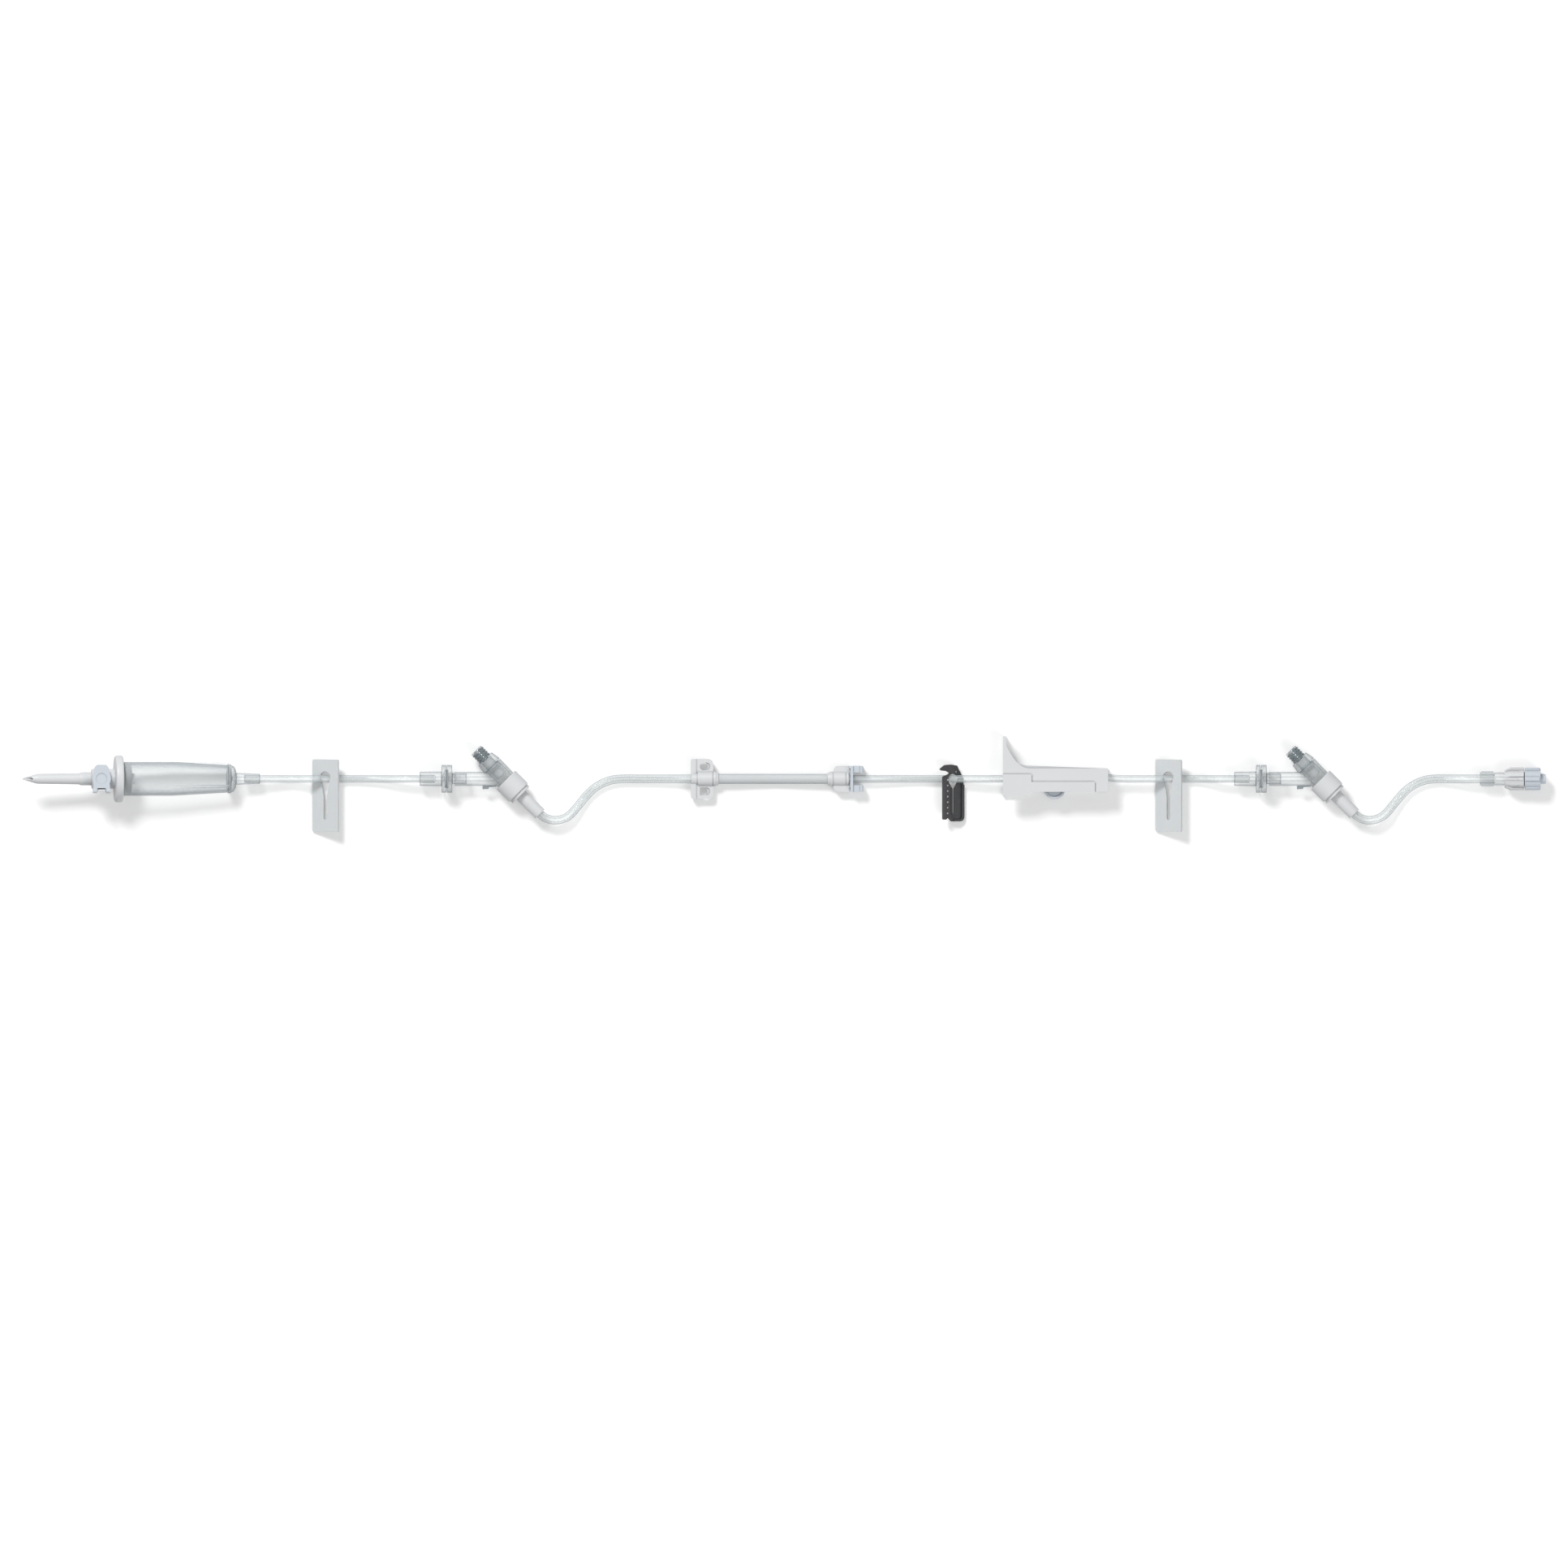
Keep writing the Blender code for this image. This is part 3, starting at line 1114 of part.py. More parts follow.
def make_roller_clamp_housing(frame, material):
    """Channel with a hollow hanging plate, side panels, a sloping trough and grooves for the roller."""
    middle = housing_middle()
    skin = HOUSING_PANEL_RAISE
    foot = [(0, -HOUSING_FOOT), (0.0121, -HOUSING_FOOT + 0.00075), (PANEL_STEP_AT, -HOUSING_BOTTOM)]
    side = foot + [(HOUSING_LENGTH, -HOUSING_BOTTOM), (HOUSING_LENGTH, HOUSING_TOP)]
    side += list(reversed(hanger_curve(0.0)))
    side += [(HANGER_STRIP, HANGER_REACH), (0, HANGER_REACH)]
    housing = piece("roller_clamp_housing", slab(side, skin, HOUSING_WIDTH - skin), frame, material)
    panel = foot + [
        (PANEL_END, -HOUSING_BOTTOM),
        (PANEL_END, -PANEL_LOW),
        (PANEL_STEP_AT, -PANEL_LOW),
        (PANEL_STEP_AT, PANEL_HIGH),
        (0, PANEL_HIGH),
    ]
    ridge = [
        (RIDGE_START * 0.7, HOUSING_TOP * 0.85),
        (RIDGE_END, HOUSING_TOP * 0.85),
        (RIDGE_END, RIDGE_LOW),
        (RIDGE_START, RIDGE_HIGH),
        (RIDGE_START * 0.7, RIDGE_HIGH * 1.08),
    ]
    combine(
        housing,
        "UNION",
        slab(panel, 0, HOUSING_WIDTH),
        slab(ridge, middle - RIDGE_WIDTH / 2, middle + RIDGE_WIDTH / 2),
    )
    wall = skin + HOUSING_WALL
    floor = HOUSING_TOP - HOUSING_FLOOR
    over = 0.001
    curve = [(x, y) for x, y in hanger_curve(HANGER_WALL) if y > floor and x > 0]
    channel = [(-over, -HOUSING_FOOT - over), (HOUSING_LENGTH + over, -HOUSING_FOOT - over)]
    channel += [(HOUSING_LENGTH + over, floor)] + [(curve[-1][0] + 0.0012, floor)]
    channel += list(reversed(curve)) + [(-over, curve[0][1] + 0.0028)]
    trough = [
        (RIDGE_START * 0.6, 0),
        (TROUGH_END, 0),
        (TROUGH_END, trough_floor(TROUGH_END) + over / 20),
        (ROLLER_AT, trough_floor(ROLLER_AT)),
        (RIDGE_START, trough_floor(RIDGE_START)),
        (RIDGE_START * 0.6, trough_floor(RIDGE_START)),
    ]
    groove = groove_outline(TRUNNION_RADIUS + RUNNING_CLEARANCE)
    deep = wall - TRUNNION_INSERTION - SEAT_GAP
    combine(
        housing,
        "DIFFERENCE",
        slab(channel, wall, HOUSING_WIDTH - wall),
        slab(trough, middle - TROUGH_WIDTH / 2, middle + TROUGH_WIDTH / 2),
        slab(groove, deep, HOUSING_WIDTH - deep),
    )


def groove_outline(half):
    """Round-ended groove along the roller's path."""
    along = Vector((math.cos(GROOVE_SLOPE), math.sin(GROOVE_SLOPE)))
    rest = Vector((ROLLER_AT, -ROLLER_DROP))
    back = rest - along * GROOVE_BACK
    front = rest + along * GROOVE_FORWARD
    slope = math.degrees(GROOVE_SLOPE)
    outline = arc(back.x, back.y, half, slope + 90, slope + 270, 8)
    return outline + arc(front.x, front.y, half, slope - 90, slope + 90, 8)


def make_roller(frame, material):
    """Ridged wheel moulded in one with the two trunnions that run in the housing's grooves."""
    carrier = frame_at("roller_slide", (ROLLER_AT, -ROLLER_DROP, housing_middle()), parent=frame)
    half = ROLLER_WIDTH / 2
    rim = []
    for k in range(2 * ROLLER_RIDGES):
        radius = ROLLER_RADIUS - (ROLLER_RIDGE_DEPTH if k % 2 else 0)
        rim += arc(0, 0, radius, 180 * k / ROLLER_RIDGES, 180 * k / ROLLER_RIDGES, 1)[:1]
    roller = piece("roller", slab(rim, -half, half), carrier, material)
    reach = HOUSING_WIDTH / 2 - HOUSING_PANEL_RAISE - HOUSING_WALL + TRUNNION_INSERTION
    combine(roller, "UNION", rod(-reach, reach, TRUNNION_RADIUS, BORE_SIDES, UPRIGHT))
    for side in (-1, 1):
        low, high = sorted((side * (half - ROLLER_RECESS_DEPTH), side * (half + SEAT_GAP)))
        ring = [
            (low, ROLLER_HUB_RADIUS),
            (low, ROLLER_RECESS_RADIUS),
            (high, ROLLER_RECESS_RADIUS),
            (high, ROLLER_HUB_RADIUS),
        ]
        combine(roller, "DIFFERENCE", turned(ring, SMALL_SIDES, UPRIGHT))


# Male luer end, in a frame with X along the line and 0 at the bushing's left end


def collar_start():
    return BUSHING_LENGTH + LUER_BODY_LENGTH


def collar_end():
    return collar_start() + COLLAR_LENGTH


def luer_end_length():
    return collar_end() + SEAT_GAP + LUER_CAP_LENGTH + LUER_CAP_NIPPLE_LENGTH


def make_male_luer(frame, material):
    """Six-sided tube bushing, plain body, and the luer cone with the ring that keeps the collar on."""
    socket = Y_TUBE_RADIUS + SOCKET_CLEARANCE
    retainer = collar_start() + COLLAR_THROAT + SEAT_GAP
    cone_start = retainer + LUER_RETAINER_WIDTH
    tip = collar_end() + LUER_CONE_REACH
    outline = [
        (BUSHING_LENGTH - 0.0020, 0),
        (BUSHING_LENGTH - 0.0020, LUER_BODY_RADIUS - 0.0004),
        (BUSHING_LENGTH, LUER_BODY_RADIUS - 0.0004),
        (BUSHING_LENGTH, LUER_BODY_RADIUS),
        (retainer, LUER_BODY_RADIUS),
        (retainer, LUER_RETAINER_RADIUS),
        (cone_start, LUER_RETAINER_RADIUS),
        (cone_start, LUER_CONE_RADIUS * 1.16),
        (tip, LUER_CONE_RADIUS),
        (tip, 0),
    ]
    luer = piece("male_luer", turned(outline, SMALL_SIDES), frame, material)
    bushing = [
        (0, 0),
        (0, BUSHING_RADIUS * 0.86),
        (0.0012, BUSHING_RADIUS),
        (BUSHING_LENGTH, BUSHING_RADIUS),
        (BUSHING_LENGTH, 0),
    ]
    corner_up = Matrix.Rotation(math.pi / BUSHING_SIDES, 4, "X")
    combine(luer, "UNION", turned(bushing, BUSHING_SIDES, corner_up), solver="MANIFOLD")
    tube_socket = rod(-SEAT_GAP, BOND_DEPTH, socket, SMALL_SIDES)
    bore = rod(BOND_DEPTH - SEAT_GAP, tip + SEAT_GAP, LUMEN_RADIUS, BORE_SIDES)
    combine(luer, "DIFFERENCE", tube_socket, bore, solver="MANIFOLD")


def make_lock_collar(frame, material):
    """Turning collar with a tapered back, eight broad grip fins and a raised ring at the mouth."""
    start, end = collar_start(), collar_end()
    throat = LUER_BODY_RADIUS + RUNNING_CLEARANCE
    outline = [
        (start, throat),
        (start, COLLAR_RADIUS * 0.84),
        (start + 0.0030, COLLAR_WAIST_RADIUS),
        (start + COLLAR_WAIST, COLLAR_WAIST_RADIUS),
        (start + COLLAR_WAIST, COLLAR_RADIUS),
        (end, COLLAR_RADIUS),
        (end, COLLAR_CAVITY_RADIUS),
        (start + COLLAR_THROAT, COLLAR_CAVITY_RADIUS),
        (start + COLLAR_THROAT, throat),
    ]
    collar = piece("lock_collar", turned(outline, WIDE_SIDES), frame, material)
    half = FIN_WIDTH / 2
    low = COLLAR_RADIUS * 0.9
    fin = [
        (start + 0.0004, low * 0.9),
        (start + 0.0004, COLLAR_RADIUS * 0.88),
        (start + 0.0032, FIN_RADIUS),
        (end, FIN_RADIUS),
        (end, low),
        (start + 0.0030, low),
    ]
    stand = Matrix.Rotation(math.radians(90), 4, "X")
    for k in range(FIN_COUNT):
        turn = Matrix.Rotation(2 * math.pi * (k + 0.5) / FIN_COUNT, 4, "X")
        combine(collar, "UNION", slab(fin, -half, half, turn @ stand))


def make_luer_cap(frame, material):
    """Ribbed cap over the luer cone, with a sleeve that enters the collar and an end nipple."""
    start = collar_end() + SEAT_GAP
    end = start + LUER_CAP_LENGTH
    carrier = frame_at("luer_cap_slide", (0, 0, 0), parent=frame)
    bore = LUER_CONE_RADIUS * 1.16 + SEAT_GAP
    sleeve = bore + LUER_CAP_SLEEVE_WALL
    bore_end = start + LUER_CONE_REACH + 0.0020
    outline = [
        (start - LUER_CAP_SLEEVE, bore),
        (start - LUER_CAP_SLEEVE, sleeve),
        (start, sleeve),
        (start, LUER_CAP_RADIUS),
        (end, LUER_CAP_RADIUS),
        (end, LUER_CAP_NIPPLE_RADIUS),
        (end + LUER_CAP_NIPPLE_LENGTH, LUER_CAP_NIPPLE_RADIUS),
        (end + LUER_CAP_NIPPLE_LENGTH, 0),
        (bore_end, 0),
        (bore_end, bore),
    ]
    cap = piece("luer_cap", turned(outline, WIDE_SIDES), carrier, material)
    half = LUER_CAP_RIB_WIDTH / 2
    low = LUER_CAP_RADIUS * 0.9
    top = LUER_CAP_RIB_RADIUS
    stand = Matrix.Rotation(math.radians(90), 4, "X")
    for k in range(LUER_CAP_RIB_COUNT):
        turn = Matrix.Rotation(2 * math.pi * k / LUER_CAP_RIB_COUNT, 4, "X")
        rib = [(start, low), (start, top), (end - 0.0004, top), (end - 0.0004, low)]
        combine(cap, "UNION", slab(rib, -half, half, turn @ stand))


# Routes of the tubing, as the points that it passes through


def crossing(x, y, height, low, direction):
    """Five points where a tube passes through a leaning clamp. Direction 1 falls to the right."""
    rise = height - low
    reach = 2 * rise / CROSSING_SLOPE
    shares = ((-1, 1), (-0.5, 0.75), (0, 0), (0.5, -0.75), (1, -1))
    return [(x + reach * along, y, height + direction * rise * share) for along, share in shares]


def build():
    clear_scene()
    white = make_material("white_plastic", (0.86, 0.87, 0.88), 0.35)
    clear = make_material("clear_plastic", (0.80, 0.86, 0.88), 0.10, 0.45)
    tubing = make_material("clear_tubing", (0.82, 0.87, 0.88), 0.18, 0.55)
    silicone = make_material("silicone", (0.78, 0.84, 0.88), 0.45)
    filter_white = make_material("filter_white", (0.90, 0.90, 0.88), 0.80)
    dark = make_material("dark_plastic", (0.03, 0.03, 0.035), 0.45)

    tilt = chamber_tilt()
    chamber_reach = chamber_length() * math.cos(tilt)
    spike_reach = -spike_tip() * math.cos(tilt)
    y_reach = Y_ARM_LENGTH + outlet_reach() * math.cos(DIAGONAL)
    y_group = valve_length() + y_reach
    upper_fitment = UPPER_FITMENT_LENGTH + FITMENT_SOCKET_LENGTH
    stations = [spike_reach, chamber_reach, UPPER_TUBE_RUN, y_group, Y_TUBE_RUN, upper_fitment]
    stations += [PUMP_SEGMENT_RUN, lower_fitment_end(), LOWER_TUBE_RUN, y_group, OUTLET_TUBE_RUN]
    stations += [luer_end_length()]
    ends = [-sum(stations) / 2]
    for length in stations:
        ends.append(ends[-1] + length)
    _, flange_x, spout_x, upper_valve_x, upper_boot_x, upper_fitment_x, segment_x = ends[:7]
    lower_fitment_x, lower_tube_x, lower_valve_x, lower_boot_x, luer_x = ends[7:12]
    line_y = (SLIDE_CLAMP_BELOW - HANGER_REACH) / 2
    valve_z = VALVE_DISC_RADIUS
    fitment_z = FITMENT_SOCKET_RADIUS
    luer_z = LUER_CAP_RIB_RADIUS

    flange_z = ring_end() * math.sin(tilt) + CHAMBER_RING_RADIUS * math.cos(tilt)
    chamber_frame = frame_at("chamber_frame", (flange_x, line_y, flange_z), (0, tilt, 0))
    make_spike_body(chamber_frame, white)
    make_vent_filter(chamber_frame, filter_white)
    make_vent_cap(chamber_frame, white)
    make_drip_chamber(chamber_frame, clear)
    make_fluid_filter(chamber_frame, filter_white)

    clamp_z = clamp_rest(SLIDE_CLAMP_WIDTH, SLIDE_CLAMP_THICKNESS)
    slide_clamps = []
    for name, x in (
        ("upper_slide_clamp", spout_x + UPPER_SLIDE_CLAMP_AT),
        ("lower_slide_clamp", lower_tube_x + LOWER_SLIDE_CLAMP_AT),
    ):
        clamp_frame = frame_at(f"{name}_frame", (x, line_y, clamp_z), (0, -CLAMP_TILT, 0))
        make_slide_clamp(name, clamp_frame, white)
        slide_clamps.append(x)

    boots = []
    for prefix, x in (("upper", upper_valve_x), ("lower", lower_valve_x)):
        valve_frame = frame_at(f"{prefix}_valve_frame", (x, line_y, valve_z))
        make_check_valve(prefix, valve_frame, clear, silicone)
        arm_x = x + valve_length()
        arm_frame = frame_at(f"{prefix}_arm_frame", (arm_x, line_y, valve_z))
        meeting = (arm_x + Y_ARM_LENGTH, line_y, valve_z)
        barrel_frame = frame_at(f"{prefix}_barrel_frame", meeting, (0, 0, DIAGONAL))
        make_y_body(prefix, arm_frame, clear)
        make_y_outlet_base(prefix, barrel_frame, white)
        make_y_port(prefix, barrel_frame, clear, silicone)
        boots.append(Vector(meeting))

    upper_fitment_frame = frame_at("upper_fitment_frame", (upper_fitment_x, line_y, fitment_z))
    make_upper_pump_fitment(upper_fitment_frame, white)
    lower_fitment_frame = frame_at("lower_fitment_frame", (lower_fitment_x, line_y, fitment_z))
    make_lower_pump_fitment(lower_fitment_frame, white)
    make_flow_stop_slider(lower_fitment_frame, white)

    hook_x = lower_tube_x + HOOK_CLAMP_AT
    hook_z = clamp_rest(HOOK_CLAMP_WIDTH, HOOK_CLAMP_THICKNESS)
    hook_frame = frame_at("hook_clamp_frame", (hook_x, line_y, hook_z), (0, CLAMP_TILT, 0))
    make_hook_clamp(hook_frame, dark)

    housing_x = lower_tube_x + ROLLER_CLAMP_AT
    housing_frame = frame_at("roller_clamp_frame", (housing_x, line_y, 0))
    make_roller_clamp_housing(housing_frame, white)
    make_roller(housing_frame, white)

    luer_frame = frame_at("luer_frame", (luer_x, line_y, luer_z))
    make_male_luer(luer_frame, clear)
    make_lock_collar(luer_frame, white)
    make_luer_cap(luer_frame, white)

    down = Vector((math.cos(tilt), 0, -math.sin(tilt)))
    spout = Vector((spout_x, line_y, flange_z - chamber_length() * math.sin(tilt)))
    seat = BOND_DEPTH - SEAT_GAP
    on_table = LINE_TUBE_RADIUS + SEAT_GAP / 2
    cross = slide_clamps[0]
    upper_route = [spout - down * seat, spout, spout + down * 0.006]
    upper_route += [(cross - 0.0185, line_y, clamp_z + 0.0002)]
    upper_route += crossing(cross, line_y, clamp_z, on_table, 1)
    upper_route += [(cross + 0.0175, line_y, on_table), (cross + 0.0275, line_y, on_table + 0.0011)]
    upper_route += [(upper_valve_x - 0.0095, line_y, valve_z - 0.0009), (upper_valve_x, line_y, valve_z)]
    upper_route += [(upper_valve_x + seat, line_y, valve_z)]
    cord("upper_tube", upper_route, LINE_TUBE_RADIUS, tubing)

    along = Vector((math.cos(DIAGONAL), math.sin(DIAGONAL), 0))
    y_seat = Y_BOOT_BOND - SEAT_GAP
    upper_boot = boots[0] + along * outlet_reach()
    y_table = Y_TUBE_RADIUS
    middle_route = [upper_boot - along * y_seat, upper_boot]
    middle_route += bend_after_boot(upper_boot, line_y, y_table)
    middle_route += [(upper_fitment_x - 0.0260, line_y, y_table), (upper_fitment_x - 0.0100, line_y, fitment_z - 0.0010)]
    middle_route += [(upper_fitment_x, line_y, fitment_z), (upper_fitment_x + seat, line_y, fitment_z)]
    cord("middle_tube", middle_route, Y_TUBE_RADIUS, tubing)

    segment_seat = PUMP_SEGMENT_BOND - SEAT_GAP
    middle = (segment_x + lower_fitment_x) / 2
    segment_route = [
        (segment_x - segment_seat, line_y, fitment_z),
        (segment_x, line_y, fitment_z),
        (segment_x + 0.0120, line_y, fitment_z - 0.0005),
        (middle, line_y, fitment_z - 0.0012),
        (lower_fitment_x - 0.0120, line_y, fitment_z - 0.0005),
        (lower_fitment_x, line_y, fitment_z),
        (lower_fitment_x + segment_seat, line_y, fitment_z),
    ]
    cord("pump_segment", segment_route, PUMP_SEGMENT_RADIUS, silicone)

    tube_y = trough_floor(ROLLER_AT) - LINE_TUBE_RADIUS - RUNNING_CLEARANCE
    leave_y = trough_floor(TROUGH_END) - LINE_TUBE_RADIUS - RUNNING_CLEARANCE
    mid_z = housing_middle()
    housing_end = housing_x + HOUSING_LENGTH
    cross = slide_clamps[1]
    outlet_seat = SLIDER_RAIL / 1.5 - SEAT_GAP
    lower_route = [(lower_tube_x - outlet_seat, line_y, fitment_z), (lower_tube_x + 0.0080, line_y, fitment_z - 0.0002)]
    lower_route += [(lower_tube_x + 0.0230, line_y, on_table + 0.0006), (lower_tube_x + 0.0330, line_y, on_table)]
    lower_route += crossing(hook_x, line_y, hook_z, on_table, -1)
    lower_route += [
        (housing_x - 0.0070, line_y, mid_z - 0.0006),
        (housing_x + 0.0020, line_y + 0.0003, mid_z),
        (housing_x + ROLLER_AT * 0.55, line_y + tube_y * 0.68, mid_z),
        (housing_x + ROLLER_AT, line_y + tube_y, mid_z),
        (housing_x + TROUGH_END, line_y + leave_y, mid_z),
        (housing_end, line_y + leave_y * 0.25, mid_z - 0.0002),
        (housing_end + 0.0080, line_y, mid_z - 0.0009),
    ]
    lower_route += crossing(cross, line_y, clamp_z, on_table, 1)
    lower_route += [(cross + 0.0170, line_y, on_table + 0.0008)]
    lower_route += [(lower_valve_x - 0.0080, line_y, valve_z - 0.0008), (lower_valve_x, line_y, valve_z)]
    lower_route += [(lower_valve_x + seat, line_y, valve_z)]
    cord("lower_tube", lower_route, LINE_TUBE_RADIUS, tubing)

    lower_boot = boots[1] + along * outlet_reach()
    outlet_route = [lower_boot - along * y_seat, lower_boot]
    outlet_route += bend_after_boot(lower_boot, line_y, y_table)
    outlet_route += [(luer_x - 0.0180, line_y, y_table + 0.0006), (luer_x - 0.0070, line_y, luer_z - 0.0006)]
    outlet_route += [(luer_x, line_y, luer_z), (luer_x + seat, line_y, luer_z)]
    cord("outlet_tube", outlet_route, Y_TUBE_RADIUS, tubing)


def bend_after_boot(boot, line_y, table):
    """The tube leaves the boot downhill, sweeps round its lowest point and swings back to the line.

    It sinks to the table over the first two bends and the straight between the last two.
    """
    rise = line_y - boot.y + BOOT_BEND_RADIUS * (1 - math.cos(DIAGONAL))
    rise -= (LOW_BEND_RADIUS + RETURN_BEND_RADIUS) * (1 - math.cos(RETURN_ANGLE))
    straight = rise / math.sin(RETURN_ANGLE)
    stretches = [
        (BOOT_BEND_RADIUS, -DIAGONAL, 3),
        (LOW_BEND_RADIUS, RETURN_ANGLE, 3),
        (straight, 0.0, 2),
        (RETURN_BEND_RADIUS, -RETURN_ANGLE, 4),
    ]
    heading = DIAGONAL
    x, y, run = boot.x, boot.y, 0.0
    sinking = -BOOT_BEND_RADIUS * DIAGONAL + LOW_BEND_RADIUS * RETURN_ANGLE + straight
    points = []
    for size, turn, steps in stretches:
        length = size * abs(turn) / steps if turn else size / steps
        for _ in range(steps):
            chord = length if not turn else 2 * size * math.sin(abs(turn) / steps / 2)
            heading += turn / steps / 2
            x += chord * math.cos(heading)
            y += chord * math.sin(heading)
            heading += turn / steps / 2
            run += length
            share = min(1.0, run / sinking)
            share = share * share * (3 - 2 * share)
            points.append((x, y, boot.z + (table - boot.z) * share))
    return points


build()
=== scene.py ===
import math

import bmesh
import bpy
from mathutils import Matrix, Vector


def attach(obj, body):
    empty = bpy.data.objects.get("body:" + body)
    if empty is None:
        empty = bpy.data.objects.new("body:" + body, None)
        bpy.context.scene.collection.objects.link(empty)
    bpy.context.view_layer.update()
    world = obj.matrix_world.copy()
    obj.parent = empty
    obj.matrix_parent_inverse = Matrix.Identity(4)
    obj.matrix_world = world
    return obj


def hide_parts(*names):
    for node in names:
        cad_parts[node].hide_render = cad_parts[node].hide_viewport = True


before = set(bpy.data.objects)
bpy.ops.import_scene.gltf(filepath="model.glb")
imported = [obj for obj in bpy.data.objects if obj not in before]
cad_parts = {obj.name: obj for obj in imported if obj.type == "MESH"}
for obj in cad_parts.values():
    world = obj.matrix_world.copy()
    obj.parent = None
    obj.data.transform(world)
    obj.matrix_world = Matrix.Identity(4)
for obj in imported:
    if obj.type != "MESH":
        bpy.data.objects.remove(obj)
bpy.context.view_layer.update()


# Camera
# The picture is a plan, so the camera looks straight down with no perspective. The picture is
# 1932 pixels wide, and each pixel covers 0.425 mm of the table.
picture_pixels = 1932
pixel_size = 0.000425


def placed(name, data):
    """A new object in the scene."""
    made = bpy.data.objects.new(name, data)
    bpy.context.scene.collection.objects.link(made)
    return made


plan_camera = placed("plan_camera", bpy.data.cameras.new("plan_camera"))
plan_camera.data.type = "ORTHO"
plan_camera.data.ortho_scale = picture_pixels * pixel_size
plan_camera.location = (0, 0, 3.0)
bpy.context.scene.camera = plan_camera
bpy.context.scene.view_settings.view_transform = "Standard"


# Table and light
# A plain white table top under a pale sky and two broad soft lamps, one on each side. It keeps
# the faint shadows of the pieces. Table and sky are white to the camera and in gloss.
class Reading:
    """An output socket that takes part in sums, which become Math nodes."""

    def __init__(self, shading, socket):
        self.shading = shading
        self.socket = socket

    def sum_with(self, operation, first, second):
        return self.shading.add("ShaderNodeMath", {"operation": operation}, {0: first, 1: second})

    def __add__(self, other):
        return self.sum_with("ADD", self, other)

    def __radd__(self, other):
        return self.sum_with("ADD", other, self)

    def __rsub__(self, other):
        return self.sum_with("SUBTRACT", other, self)

    def __mul__(self, other):
        return self.sum_with("MULTIPLY", self, other)

    def __pow__(self, other):
        return self.sum_with("POWER", self, other)

    def at_most(self, other):
        return self.sum_with("MINIMUM", self, other)


class Shading:
    """The nodes of a material or of the sky."""

    def __init__(self, data):
        data.use_nodes = True
        self.nodes, self.links = data.node_tree.nodes, data.node_tree.links

    def add(self, kind, settings, inputs, output=0):
        node = self.nodes.new(kind)
        for name, value in settings.items():
            setattr(node, name, value)
        for name, value in inputs.items():
            if isinstance(value, Reading):
                self.links.new(value.socket, node.inputs[name])
            else:
                node.inputs[name].default_value = value
        return Reading(self, node.outputs[output])

    def seen(self, *ways):
        """1 where a ray is one of the ways to be seen, and 0 where it only brings light."""
        rays = [self.add("ShaderNodeLightPath", {}, {}, f"Is {way} Ray") for way in ways]
        return sum(rays).at_most(1.0)


class Finish(Shading):
    """A Principled material. Plain values go on the shader's own sockets, patterns into them."""

    def __init__(self, name, colour, roughness, **plain):
        self.material = bpy.data.materials.new(name)
        super().__init__(self.material)
        self.shader = self.nodes["Principled BSDF"]
        self.shader.inputs["Base Color"].default_value = (*colour, 1)
        self.shader.inputs["Roughness"].default_value = roughness
        for socket, value in plain.items():
            self.shader.inputs[socket.replace("_", " ")].default_value = value

    def drive(self, socket, reading):
        self.links.new(reading.socket, self.shader.inputs[socket])

    def place(self, stretch=(1, 1, 1)):
        coordinates = self.add("ShaderNodeTexCoord", {}, {}, "Object")
        return self.add("ShaderNodeMapping", {}, {"Vector": coordinates, "Scale": stretch})

    def noise(self, scale, detail=3.0, stretch=(1, 1, 1)):
        inputs = {"Vector": self.place(stretch), "Scale": scale, "Detail": detail}
        return self.add("ShaderNodeTexNoise", {}, inputs, "Fac")

    def hollow(self, reach):
        """How deep a spot lies between its neighbours, from ambient occlusion: 0 in the open, 1 in
        a closed corner. The moulded plastics paint shade with it.
        """
        return 1 - self.add("ShaderNodeAmbientOcclusion", {"samples": 6}, {"Distance": reach}, "AO")

    # Layer Weight's facing: 0 where a surface faces the camera, rising to 1 at its outline. The
    # clear finishes paint shade with it.
    def edge(self, blend):
        return self.add("ShaderNodeLayerWeight", {}, {"Blend": blend}, "Facing")

    def colour(self, share, first, second):
        """Base Color, from the first colour at a share of 0 to the second at 1."""
        inputs = {0: share, 6: (*first, 1), 7: (*second, 1)}
        self.drive("Base Color", self.add("ShaderNodeMix", {"data_type": "RGBA"}, inputs, 2))

    def roughen(self, least, spread, scale):
        self.drive("Roughness", least + self.noise(scale) * spread)

    def bump(self, height, depth):
        inputs = {"Height": height, "Distance": depth}
        self.drive("Normal", self.add("ShaderNodeBump", {}, inputs, "Normal"))


table_reach = 3.0
table_mesh = bpy.data.meshes.new("table_top")
corners = [(x * table_reach, y * table_reach, 0) for x, y in ((-1, -1), (1, -1), (1, 1), (-1, 1))]
table_mesh.from_pydata(corners, [], [(0, 1, 2, 3)])
table_top = placed("table_top", table_mesh)
lit_white, seen_grey = (0.93, 0.93, 0.93), (0.6, 0.6, 0.6)
table_white = Finish("table_white", lit_white, 0.9, Specular_IOR_Level=0.1)
table_white.roughen(0.86, 0.08, 40)
table_white.colour(table_white.seen("Camera"), seen_grey, lit_white)
lift_level = table_white.seen("Camera", "Transmission", "Glossy") * 0.22
lift = table_white.add("ShaderNodeEmission", {}, {"Strength": lift_level}, "Emission")
lit = Reading(table_white, table_white.shader.outputs["BSDF"])
lifted = table_white.add("ShaderNodeAddShader", {}, {0: lit, 1: lift}, "Shader")
table_white.links.new(lifted.socket, table_white.nodes["Material Output"].inputs["Surface"])
table_mesh.materials.append(table_white.material)

